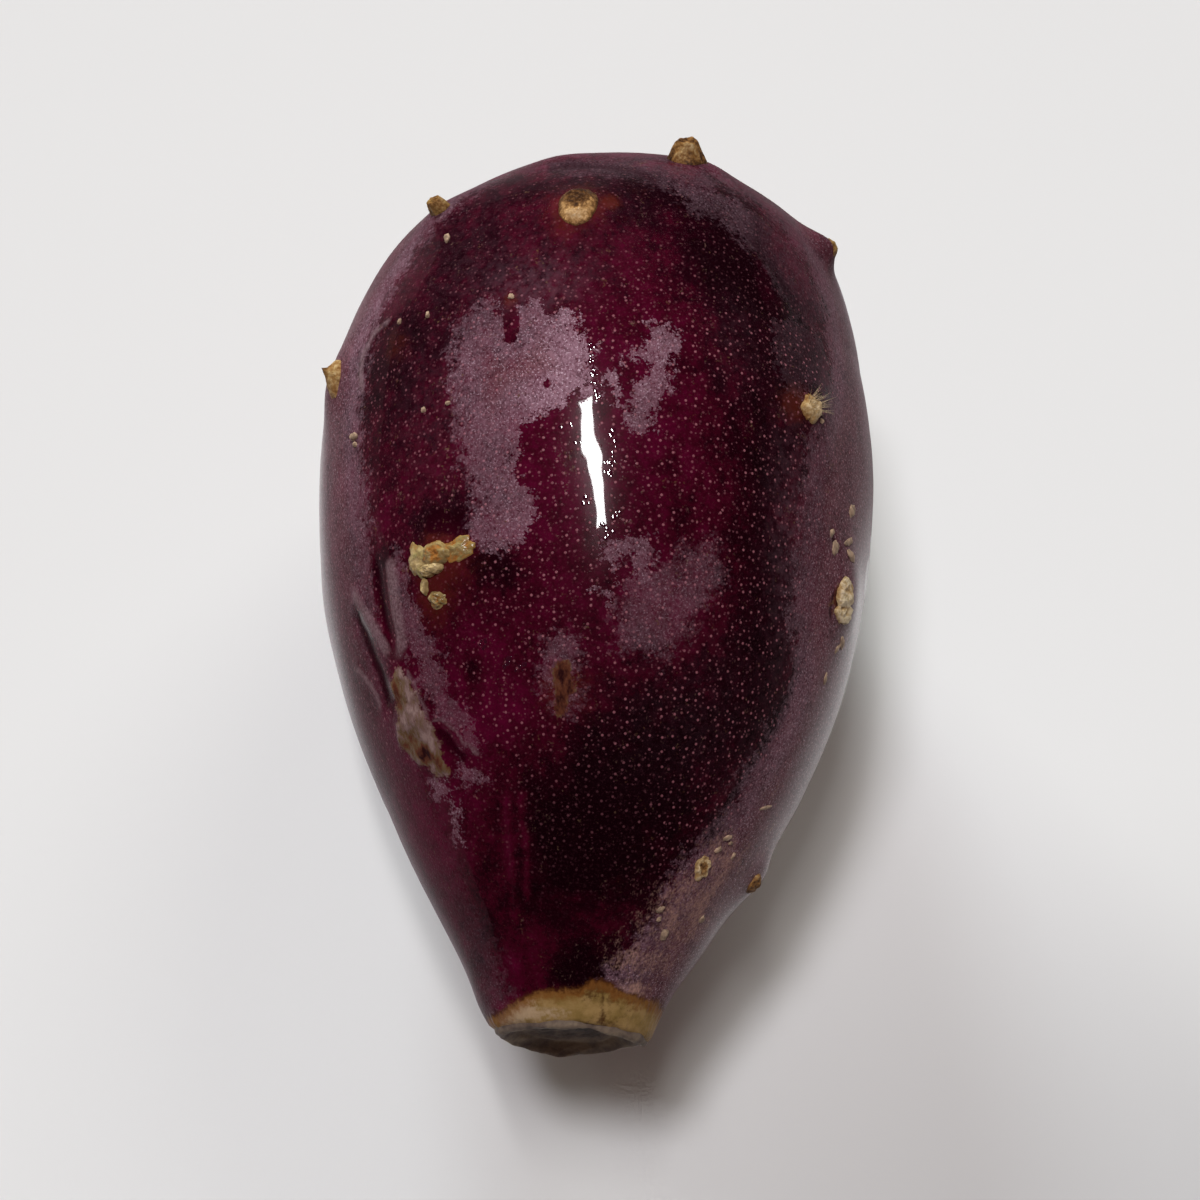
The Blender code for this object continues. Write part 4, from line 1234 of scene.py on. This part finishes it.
pads = {
    "crownBoss": {
        "at": (0.848, 95.8), "wide": 3.7, "long": 4.7, "seed": 3, "wobble": 0.14,
        "profile": ((0, 0.62), (0.3, 0.66), (0.52, 0.70), (0.68, 0.50), (0.82, 0.24), (0.92, 0.10),
                    (1.0, -0.20)),
        "tones": ((0, 0.12), (0.3, 0.16), (0.5, 0.26), (0.66, 0.50), (0.80, 0.40), (0.90, 0.26), (1.0, 0.16)),
        "lit": 0.36, "rough": 0.08, "lumpy": 0.12, "patchy": 0.06, "grain": 0.45, "rings": 34, "around": 88,
        "finish": "boss"},
    "crownStub": {
        "at": (0.951, 66.8), "wide": 3.7, "long": 3.4, "seed": 11, "wobble": 0.14, "tipAcross": -0.10,
        "profile": ((0, 1.75), (0.30, 1.85), (0.52, 1.75), (0.62, 1.35), (0.80, 0.55), (1.0, -0.25)),
        "tones": ((0, 0.30), (0.35, 0.26), (0.62, 0.44), (0.80, 0.26), (1.0, 0.16)),
        "lit": 0.20, "rough": 0.20, "lumpy": 0.24, "patchy": 0.20, "grain": 0.6, "rings": 26, "around": 64},
    "leftStub": {
        "at": (0.882, 132.4), "wide": 2.1, "long": 1.9, "seed": 17, "wobble": 0.15,
        "profile": ((0, 0.7), (0.3, 1.0), (0.60, 1.1), (0.72, 0.85), (0.88, 0.3), (1.0, -0.25)),
        "tones": ((0, 0.3), (0.5, 0.40), (0.8, 0.46), (1.0, 0.30)),
        "rough": 0.14, "lumpy": 0.16, "patchy": 0.14, "green": 0.3},
    "leftPoint": {
        "at": (0.703, 153.5), "wide": 2.2, "long": 3.6, "seed": 23, "wobble": 0.15, "tipAlong": 0.45,
        "profile": ((0, 1.5), (0.10, 1.25), (0.25, 0.9), (0.5, 0.62), (0.8, 0.28), (1.0, -0.25)),
        "tones": ((0, 0.25), (0.3, 0.50), (0.7, 0.58), (1.0, 0.40)),
        "rough": 0.10, "lumpy": 0.1, "patchy": 0.12, "green": 0.15},
    "coneTip": {
        "at": (0.877, 24), "wide": 1.7, "long": 2.2, "seed": 29, "wobble": 0.15,
        "profile": ((0, 0.12), (0.35, 0.16), (0.6, 0.14), (0.85, 0.06), (1.0, -0.2)),
        "tones": ((0, 0.50), (0.5, 0.46), (1.0, 0.30)),
        "rough": 0.08, "lumpy": 0.08, "patchy": 0.12, "green": 0.4},
    "tuftPad": {
        "at": (0.634, 44.6), "wide": 2.4, "long": 2.8, "seed": 31, "wobble": 0.25,
        "profile": ((0, 0.50), (0.3, 0.62), (0.6, 0.48), (0.85, 0.20), (1.0, -0.25)),
        "tones": ((0, 0.84), (0.5, 0.76), (0.8, 0.58), (1.0, 0.34)),
        "rough": 0.12, "lumpy": 0.14, "patchy": 0.14},
    "brokenPad": {
        "at": (0.458, 126.0), "wide": 2.3, "long": 3.1, "seed": 37, "wobble": 0.30, "turn": 5,
        "finish": "flesh",
        "profile": ((0, 0.28), (0.3, 0.32), (0.6, 0.28), (0.85, 0.12), (1.0, -0.15)),
        "tones": ((0, 0.80), (0.3, 0.74), (0.6, 0.66), (0.85, 0.60), (1.0, 0.34)),
        "rough": 0.05, "lumpy": 0.12, "patchy": 0.10, "green": 0.8, "rings": 24, "around": 72},
    "brokenRight": {
        "at": (0.461, 116.6), "wide": 3.4, "long": 2.3, "seed": 38, "wobble": 0.40, "turn": 5,
        "finish": "flesh",
        "profile": ((0, 0.20), (0.3, 0.18), (0.6, 0.10), (0.85, 0.03), (1.0, -0.15)),
        "tones": ((0, 0.60), (0.3, 0.52), (0.6, 0.40), (0.85, 0.28), (1.0, 0.14)),
        "rough": 0.05, "lumpy": 0.10, "patchy": 0.14, "green": 0.35, "rings": 24, "around": 72},
    "brokenCore": {
        "at": (0.459, 121.6), "wide": 3.0, "long": 2.2, "seed": 41, "wobble": 0.30, "finish": "flesh",
        "profile": ((0, 0.46), (0.4, 0.50), (0.75, 0.38), (1.0, -0.1)),
        "tones": ((0, 0.30), (0.5, 0.34), (0.8, 0.50), (1.0, 0.44)),
        "rough": 0.10, "lumpy": 0.16, "patchy": 0.14},
    "brokenLedge": {
        "at": (0.445, 123.1), "wide": 2.4, "long": 1.2, "seed": 43, "wobble": 0.25, "finish": "flesh",
        "profile": ((0, 0.62), (0.5, 0.66), (0.8, 0.45), (1.0, 0.0)),
        "tones": ((0, 0.86), (1.0, 0.74)),
        "rough": 0.16, "lumpy": 0.16, "patchy": 0.12},
    "brokenCrumb": {
        "at": (0.430, 125.2), "wide": 0.8, "long": 1.6, "seed": 45, "wobble": 0.3, "finish": "flesh",
        "profile": ((0, 0.30), (0.6, 0.30), (1.0, -0.12)),
        "tones": ((0, 0.78), (1.0, 0.62)),
        "rough": 0.15, "lumpy": 0.15, "patchy": 0.14, "rings": 10, "around": 28},
    "brokenRest": {
        "at": (0.414, 122.7), "wide": 2.0, "long": 1.5, "seed": 47, "wobble": 0.35, "finish": "flesh",
        "profile": ((0, 0.28), (0.6, 0.32), (1.0, -0.12)),
        "tones": ((0, 0.46), (1.0, 0.58)),
        "rough": 0.22, "lumpy": 0.2, "patchy": 0.22, "rings": 14, "around": 40},
    "paleScar": {
        "at": (0.455, 26.6), "wide": 2.8, "long": 2.9, "seed": 53, "wobble": 0.18,
        "profile": ((0, 0.22), (0.5, 0.30), (0.85, 0.24), (1.0, -0.2)),
        "tones": ((0, 0.78), (0.8, 0.90), (1.0, 0.65)),
        "rough": 0.12, "lumpy": 0.14, "patchy": 0.26, "green": 0.25, "rings": 20, "around": 60},
    "paleScarBelow": {
        "at": (0.436, 25.4), "wide": 2.8, "long": 2.1, "seed": 57, "wobble": 0.22,
        "profile": ((0, 0.20), (0.5, 0.28), (0.85, 0.22), (1.0, -0.2)),
        "tones": ((0, 0.74), (0.8, 0.86), (1.0, 0.60)),
        "rough": 0.12, "lumpy": 0.14, "patchy": 0.26, "green": 0.25, "rings": 18, "around": 56},
    "notchScar": {
        "at": (0.158, 8), "wide": 1.8, "long": 2.2, "seed": 59, "wobble": 0.25,
        "profile": ((0, 0.30), (0.5, 0.36), (0.8, 0.20), (1.0, -0.2)),
        "tones": ((0, 0.5), (1.0, 0.36)),
        "rough": 0.18, "lumpy": 0.2, "patchy": 0.15},
    "lowSpot": {
        "at": (0.157, 45.3), "wide": 1.9, "long": 2.5, "seed": 61, "wobble": 0.3,
        "profile": ((0, 0.05), (0.5, 0.20), (0.8, 0.14), (1.0, -0.15)),
        "tones": ((0, 0.40), (0.35, 0.48), (0.6, 0.80), (1.0, 0.70)),
        "rough": 0.14, "lumpy": 0.12, "patchy": 0.16},
}

print("seating the areoles")
finishes = {"cork": corkFinish, "boss": bossFinish, "flesh": padFinish}
marks = []
for name, look in pads.items():
    marks.append(growPad(name, look, finishes[look.get("finish", padBase["finish"])]))

# the dried face of the cut, inside the rim
cutLook = {
    "slant": (0.75, -0.5), "wide": 13.4, "long": 12.6, "seed": 71, "wobble": 0.04, "rings": 70, "around": 240,
    "profile": ((0, 0.55), (0.45, 0.60), (0.70, 0.64), (0.82, 0.62), (0.90, 0.56), (0.96, 0.36), (1.0, -0.3)),
    "tones": ((0, 0.14), (0.40, 0.24), (0.60, 0.40), (0.78, 0.54), (0.90, 0.56), (0.96, 0.50), (1.0, 0.46)),
    "rough": 0.06, "lumpy": 0.22, "lumps": 2.6, "grain": 1.4, "patchy": 0.07, "wrinkles": 0.14,
    # across, up, the two reaches and the depth; the depth also darkens each pit with painted shade
    "pits": ((1.6, 2.4, 0.6, 2.4, 1.0), (-1.0, 0.4, 1.6, 1.6, 0.25)),
}
cutEnd = growPad("cutEnd", cutLook, cutFinish)

# bristles and loose corky crumbs
bristleLook = {
    "tufts": {     # station, degrees, number, spread in mm, length in mm, how far they splay
        "tuft": (0.638, 44.6, 60, 1.1, 1.5, 0.7), "boss": (0.8565, 96.2, 30, 1.5, 0.40, 0.5),
        "bossTop": (0.850, 96.2, 14, 0.7, 0.45, 0.4),
    },
    "thick": 0.055, "vary": 0.15, "seed": 4,
}
crumbLook = {     # station, degrees, wide, long, high in mm
    "crumbs": ((0.832, 126.1, 0.55, 1.0, 0.14), (0.731, 124.8, 0.35, 0.6, 0.10),
               (0.734, 132.3, 0.4, 0.5, 0.10), (0.617, 144.1, 0.7, 0.85, 0.20),
               (0.608, 143.6, 0.4, 0.5, 0.14), (0.619, 124.1, 0.5, 0.5, 0.08),
               (0.621, 118.7, 0.45, 0.45, 0.08), (0.551, 24.9, 1.0, 1.3, 0.08), (0.515, 26.0, 0.6, 1.7, 0.06),
               (0.501, 24.6, 1.0, 1.5, 0.07), (0.513, 33.6, 0.6, 1.5, 0.06), (0.500, 31.8, 1.0, 1.5, 0.07),
               (0.409, 20.7, 0.9, 1.3, 0.06), (0.400, 22.5, 0.5, 0.9, 0.05), (0.366, 23.9, 0.6, 1.1, 0.06),
               (0.226, 28.7, 0.4, 1.8, 0.06), (0.189, 40.1, 0.5, 1.0, 0.10), (0.177, 41.8, 0.5, 0.8, 0.10),
               (0.185, 37.4, 0.35, 0.5, 0.08), (0.175, 32.5, 0.4, 0.6, 0.08), (0.113, 56.4, 0.45, 0.7, 0.10),
               (0.104, 55.0, 0.4, 0.5, 0.08), (0.091, 48.6, 0.7, 0.9, 0.10), (0.112, 29.8, 0.8, 0.7, 0.10),
               (0.625, 41.5, 0.4, 0.5, 0.14), (0.735, 106.7, 0.5, 0.5, 0.08)),
    "lumpy": 0.35, "vary": 0.1, "seed": 9,
}
beadLook = {     # beads of wax: station, degrees, spread in mm, number
    "beads": ((0.672, 90.6, 0.2, 4), (0.655, 90.4, 0.2, 6), (0.640, 90.0, 0.2, 7), (0.627, 89.6, 0.2, 6),
              (0.613, 89.4, 0.2, 5), (0.583, 94.6, 0.3, 3),
              (0.566, 93.2, 0.25, 2), (0.577, 87.0, 0.3, 3), (0.560, 86.6, 0.3, 3), (0.545, 86.6, 0.35, 7),
              (0.531, 86.0, 0.35, 6), (0.480, 88.6, 0.25, 3), (0.470, 86.5, 0.3, 6), (0.486, 85.6, 0.3, 4),
              (0.366, 114.0, 0.35, 7), (0.345, 109.0, 0.3, 4), (0.335, 105.0, 0.35, 4),
              (0.500, 91.5, 0.3, 3)),
    "wide": (0.18, 0.42), "high": 0.026, "lumpy": 0.0, "vary": 0.2, "seed": 12,
}
buttonLook = {     # the plain areoles of the far side
    "degrees": (200, 350), "vary": 0.2, "seed": 15,
    "wide": 0.55, "long": 0.65, "high": 0.35,     # shares of the swelling's spread, and mm
    "rings": (     # radius, height, tone
        (0.10, 0.50, 0.26), (0.22, 0.80, 0.42), (0.33, 1.0, 0.52), (0.42, 0.55, 0.40), (0.50, -0.5, 0.22)),
    "middle": (0.42, 0.22), "sides": 22, "green": 0.2,     # middle: height and tone
    "tuft": (9, 0.5, 0.6, 0.6),     # as in bristleLook
}


def scatterTree():
    # the shape set on every spot, standing along "way" and sized by "size"
    tree, given, result = newTree("scatter", "GeometryNodeTree", {
        "Spots": "Object", "Shape": "Object", "Spin": math.tau, "Vary": 0.15, "Seed": 1, "Unit": 0.001,
        "Material": "Material"}, {"Pieces": "Geometry"})
    cloud = wire(tree, "GeometryNodeMeshToPoints", {"Mesh": shapeOf(tree, given["Spots"])}, mode="VERTICES")
    way = namedValue(tree, "way", "FLOAT_VECTOR")
    size = namedValue(tree, "size", "FLOAT_VECTOR")
    aligned = wire(tree, "FunctionNodeAlignRotationToVector", {"Vector": way}, axis="Z")
    spin = wire(tree, "FunctionNodeRandomValue", {2: 0.0, 3: given["Spin"], "Seed": given["Seed"]},
                data_type="FLOAT")
    turned = wire(tree, "FunctionNodeAxisAngleToRotation", {"Axis": (0, 0, 1), "Angle": spin.outputs[1]})
    rotation = wire(tree, "FunctionNodeRotateRotation", {
        "Rotation": aligned.outputs[0], "Rotate By": turned.outputs[0]}, rotation_space="LOCAL")
    change = wire(tree, "FunctionNodeRandomValue", {
        2: calc(tree, "SUBTRACT", 1.0, given["Vary"]), 3: calc(tree, "ADD", 1.0, given["Vary"]),
        "Seed": calc(tree, "ADD", given["Seed"], 1)}, data_type="FLOAT")
    scale = vectorCalc(tree, "SCALE", size, change.outputs[1])
    placed = wire(tree, "GeometryNodeInstanceOnPoints", {
        "Points": cloud.outputs[0], "Instance": shapeOf(tree, given["Shape"]),
        "Rotation": rotation.outputs[0], "Scale": scale})
    shrink = wire(tree, "ShaderNodeCombineXYZ", {axis: given["Unit"] for axis in range(3)}).outputs[0]
    sized = wire(tree, "GeometryNodeTransform", {"Geometry": placed.outputs[0], "Scale": shrink})
    real = wire(tree, "GeometryNodeRealizeInstances", {"Geometry": sized.outputs[0]})
    tree.links.new(paint(tree, real, given["Material"]), result[0])
    return tree


def bristleShape():
    # a bent, tapering hair, 1 high and 1 across its foot
    sides, joints = 5, 4
    points, faces = [], []
    for joint in range(joints + 1):
        share = joint / joints
        radius = 0.5 * (1 - 0.9 * share)
        for step in range(sides):
            turn = math.tau * step / sides
            points.append((radius * math.cos(turn) + 3.0 * share**2, radius * math.sin(turn), share))
    for joint in range(joints):
        for step in range(sides):
            a = joint * sides + step
            b = joint * sides + (step + 1) % sides
            faces.append((a, b, b + sides, a + sides))
    faces.append(tuple(reversed(range(sides))))
    faces.append(tuple(range(joints * sides, (joints + 1) * sides)))
    return guideObject("bristleShape", plainMesh("bristleShape", points, faces))


def lumpShape(name, lumpy):
    # a lump or a drop, 1 across and 2 high
    shape = bmesh.new()
    bmesh.ops.create_icosphere(shape, subdivisions=3, radius=0.5)
    for vert in shape.verts:
        vert.co *= 1 + lumpy * noise.fractal(vert.co * 3.0, 1.0, 2.0, 3)
        vert.co.z *= 2.0
    mesh = bpy.data.meshes.new(name)
    shape.to_mesh(mesh)
    shape.free()
    smoothFaces(mesh)
    return guideObject(name, mesh)


def buttonShape():
    # a low corky pad with a sunken middle, 1 across and 1 high
    rings, sides = buttonLook["rings"], buttonLook["sides"]
    points, tonesHere, faces = [(0.0, 0.0, buttonLook["middle"][0])], [buttonLook["middle"][1]], []
    for radius, height, tone in rings:
        for step in range(sides):
            turn = math.tau * step / sides
            way = Vector((math.cos(turn), math.sin(turn), 0))
            lump = noise.noise(way * 1.6 + Vector((0, 0, 5 * radius)))
            points.append(way * radius * (1 + 0.25 * lump) + Vector((0, 0, height * (1 + 0.5 * lump))))
            tonesHere.append(tone + 0.3 * lump)
    for step in range(sides):
        faces.append((0, 1 + step, 1 + (step + 1) % sides))
        for ring in range(len(rings) - 1):
            a = 1 + ring * sides + step
            b = 1 + ring * sides + (step + 1) % sides
            faces.append((a, a + sides, b + sides, b))
    faces.append(tuple(reversed(range(1 + (len(rings) - 1) * sides, 1 + len(rings) * sides))))
    return guideObject("buttonShape", plainMesh("buttonShape", points, faces, {
        "tone": ("FLOAT", tonesHere), "green": ("FLOAT", [buttonLook["green"]] * len(points))}))


def buttonRows(look):
    rows = []
    for name in plainAreoles:
        station, angle, height, spread = areoles[name]
        place, out = onSkin(station, angle)[:2]
        rows.append((place, out, (look["wide"] * spread, look["long"] * spread, look["high"])))
    return rows


def beadRows(look):
    chance = random.Random(look["seed"])
    rows = []
    for station, angle, spread, number in look["beads"]:
        for step in range(number):
            nearby = station + chance.gauss(0, spread) / fruit["length"]
            place, out = onSkin(nearby, angle + math.degrees(chance.gauss(0, spread) / fruit["radius"]))[:2]
            wide = chance.uniform(*look["wide"])
            high = look["high"] * wide / look["wide"][1]
            rows.append((place, out, (wide, wide * chance.uniform(0.8, 1.3), high)))
    return rows


def spotsGuide(name, rows):
    places, ways, sizes = zip(*rows)
    return guideObject(name, plainMesh(name, places, [], {
        "way": ("FLOAT_VECTOR", ways), "size": ("FLOAT_VECTOR", sizes)}))


def bristleRows(look):
    chance = random.Random(look["seed"])
    rows = []
    for station, angle, number, spread, length, splay in look["tufts"].values():
        place, out, along, across = onSkin(station, angle)
        for step in range(number):
            turn = chance.uniform(0, math.tau)
            away = spread * math.sqrt(chance.uniform(0.1, 1))
            side = across * math.cos(turn) + along * math.sin(turn)
            foot = dropTo(place + side * away * 0.6, out) + out * 0.1
            way = (out + side * splay * chance.uniform(0.5, 1.2) * away / spread).normalized()
            long = length * chance.uniform(0.6, 1.15)
            rows.append((foot, way, (look["thick"], look["thick"], long)))
    return rows


def crumbRows(look):
    rows = []
    for station, angle, wide, long, high in look["crumbs"]:
        place, out = onSkin(station, angle)[:2]
        rows.append((place, out, (wide, long, 2 * high)))
    return rows


# the plain ones are named by their degrees
firstTurn, lastTurn = buttonLook["degrees"]
plainAreoles = [name for name in areoles if name[-1].isdigit() and firstTurn < areoles[name][1] < lastTurn]
for name in plainAreoles:
    bristleLook["tufts"][name] = (*areoles[name][:2], *buttonLook["tuft"])
scatter = scatterTree()


def scatterPieces(name, rows, shape, look, material):
    return growMesh(name, scatter, {
        "Spots": spotsGuide(name + "Spots", rows), "Shape": shape, "Vary": look["vary"], "Seed": look["seed"],
        "Unit": unit, "Material": material})


buttons = scatterPieces("areoleButtons", buttonRows(buttonLook), buttonShape(), buttonLook, corkFinish)
bristles = scatterPieces("bristles", bristleRows(bristleLook), bristleShape(), bristleLook, bristleFinish)
crumbShape = lumpShape("crumbShape", crumbLook["lumpy"])
crumbs = scatterPieces("crumbs", crumbRows(crumbLook), crumbShape, crumbLook, crumbFinish)
beadShape = lumpShape("beadShape", beadLook["lumpy"])
beads = scatterPieces("beads", beadRows(beadLook), beadShape, beadLook, beadFinish)
marks += [bristles, crumbs, buttons]


# floor, lights and camera
room = {
    "floorSize": 3.0, "floorTint": hexColour("e6e5e4"), "floorPatches": 0.985, "floorRough": (0.40, 0.52),
    "fill": (0.060, 0.026, 0.018, 1), "mirroredFill": (1.0, 0.6, 0.75, 1), "mirroredStrength": 0.012,
    # painted shade on the table, and the dark table seen in reflections: x, y and reach in mm
    "shade": {"x": (-45.0, 55.0), "y": (-12.0, -60.0), "share": 0.26, "tint": (0.12, 0.11, 0.11, 1)},
    "mirrored": {"reach": (30.0, 85.0), "share": 0.88, "tint": (0.02, 0.015, 0.016, 1)},
    "lamps": {     # degrees off straight down, degrees round, how broad in degrees, strength, colour
        "above": (14, 150, 12, 1.19, (0.98, 0.98, 1.04)),
        "leftWindow": (78, 120, 12, 1.36, (0.97, 1.03, 0.95)),
        "backWindow": (70, 105, 14, 1.58, (0.92, 1.02, 1.06)),
        "rightWindow": (60, 60, 30, 0.84, (0.99, 1.02, 0.94)),
    },
    # the tube's two ends are directions seen from the fruit
    "tubeHead": (-0.096, 0.29, 0.95), "tubeFoot": (-0.012, -0.105, 0.99), "tubeFar": 0.6,
    "tubeWidth": 0.039, "tubePower": 1.0,
    "cameraPlace": (0.4, -86.9, 223.2), "cameraTilt": 22.0, "lens": 72.0,     # mm, degrees, mm
}


def floorMaterial():
    material, tree, shader, point = startMaterial("paleTable", **{"Specular IOR Level": 0.3})
    cloud = noiseOf(tree, point, 60.0, detail=2.0, seed=2)
    tint = room["floorTint"]
    colour = blendColour(tree, cloud, [room["floorPatches"] * v for v in tint[:3]] + [1], tint)
    # painted shade: the table's colour darkens away from the windows, towards the lower right
    shade = room["shade"]
    x, y, z = splitVector(tree, point)
    fade = calc(tree, "MULTIPLY", remap(tree, x, *shade["x"]), remap(tree, y, *shade["y"]))
    colour = blendColour(tree, calc(tree, "MULTIPLY", fade, shade["share"]), colour, shade["tint"])
    tree.links.new(colour, shader.inputs["Base Color"])
    rough = remap(tree, noiseOf(tree, point, 0.6, detail=2.0, seed=6), 0.3, 0.7, *room["floorRough"])
    tree.links.new(rough, shader.inputs["Roughness"])

    # a wet skin mirrors only the near part of the table strongly: glossy rays see the rest of the table as a
    # dark surface, painted shade in the reflections
    mirrored = room["mirrored"]
    away = vectorCalc(tree, "LENGTH", point, output="Value")
    isGlossy = wire(tree, "ShaderNodeLightPath").outputs["Is Glossy Ray"]
    share = calc(tree, "MULTIPLY", isGlossy, remap(tree, away, *mirrored["reach"], 0.0, mirrored["share"]))
    unlit = wire(tree, "ShaderNodeBsdfDiffuse", {"Color": mirrored["tint"]})
    mix = wire(tree, "ShaderNodeMixShader", {0: share, 1: shader.outputs[0], 2: unlit.outputs[0]})
    output = next(node for node in tree.nodes if node.type == "OUTPUT_MATERIAL")
    tree.links.new(mix.outputs[0], output.inputs["Surface"])
    return material


def addFloor():
    half = room["floorSize"] / 2
    corners = [(-half, -half, 0), (half, -half, 0), (half, half, 0), (-half, half, 0)]
    floor = addObject("floor", plainMesh("floor", corners, [(0, 1, 2, 3)]), floorMaterial())


def addLamp(name, kind, strength, colour, glossy):
    data = bpy.data.lights.new(name, kind)
    data.energy = strength
    data.color = colour
    lamp = bpy.data.objects.new(name, data)
    bpy.context.scene.collection.objects.link(lamp)
    lamp.visible_glossy = glossy
    return lamp


def farLight(name, tilt, turn, breadth, strength, colour):
    lamp = addLamp(name, "SUN", strength, colour, False)
    lamp.data.angle = math.radians(breadth)
    flat = math.sin(math.radians(tilt))
    toward = Vector((flat * math.cos(math.radians(turn)), flat * math.sin(math.radians(turn)),
                     math.cos(math.radians(tilt))))
    lamp.rotation_euler = toward.to_track_quat("Z", "Y").to_euler()


def addTube(seenFrom):
    # a long narrow lamp overhead, which makes the bright streak on the wet skin
    head = seenFrom + Vector(room["tubeHead"]).normalized() * room["tubeFar"]
    foot = seenFrom + Vector(room["tubeFoot"]).normalized() * room["tubeFar"]
    lamp = addLamp("ceilingTube", "AREA", room["tubePower"], (1, 1, 1), True)
    lamp.data.shape = "RECTANGLE"
    lamp.data.size = room["tubeWidth"]
    lamp.data.size_y = (head - foot).length
    place = (head + foot) / 2
    lamp.location = place
    back = (place - seenFrom).normalized()
    side = (head - foot).normalized().cross(back).normalized()
    lamp.rotation_euler = Matrix((side, back.cross(side), back)).transposed().to_euler()


def setWorld():
    world = bpy.data.worlds.new("room")
    bpy.context.scene.world = world
    world.use_nodes = True
    tree = world.node_tree
    tree.nodes.clear()
    sides = wire(tree, "ShaderNodeLightPath").outputs
    pale = wire(tree, "ShaderNodeBackground", {"Color": room["fill"], "Strength": 1.0})
    dim = wire(tree, "ShaderNodeBackground", {
        "Color": room["mirroredFill"], "Strength": room["mirroredStrength"]})
    mix = wire(tree, "ShaderNodeMixShader", {
        0: sides["Is Glossy Ray"], 1: pale.outputs[0], 2: dim.outputs[0]})
    output = wire(tree, "ShaderNodeOutputWorld")
    tree.links.new(mix.outputs[0], output.inputs["Surface"])


print("setting the room")
addFloor()
setWorld()
for name, lampLook in room["lamps"].items():
    farLight(name, *lampLook)
addTube(Vector((0, 0, cadHigh.z)))

lens = bpy.data.cameras.new("camera")
lens.lens = room["lens"]
lens.clip_start = 0.01
camera = bpy.data.objects.new("camera", lens)
camera.location = Vector(room["cameraPlace"]) * unit
camera.rotation_euler = (math.radians(room["cameraTilt"]), 0, 0)
bpy.context.scene.collection.objects.link(camera)
bpy.context.scene.camera = camera
bpy.context.scene.view_settings.view_transform = "Standard"

for guide in guides:
    bpy.data.objects.remove(guide)

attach(skin, "root")
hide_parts(cadNode)
for mark in marks:
    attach(mark, "root")
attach(beads, "root")
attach(cutEnd, "root")

print("finished")
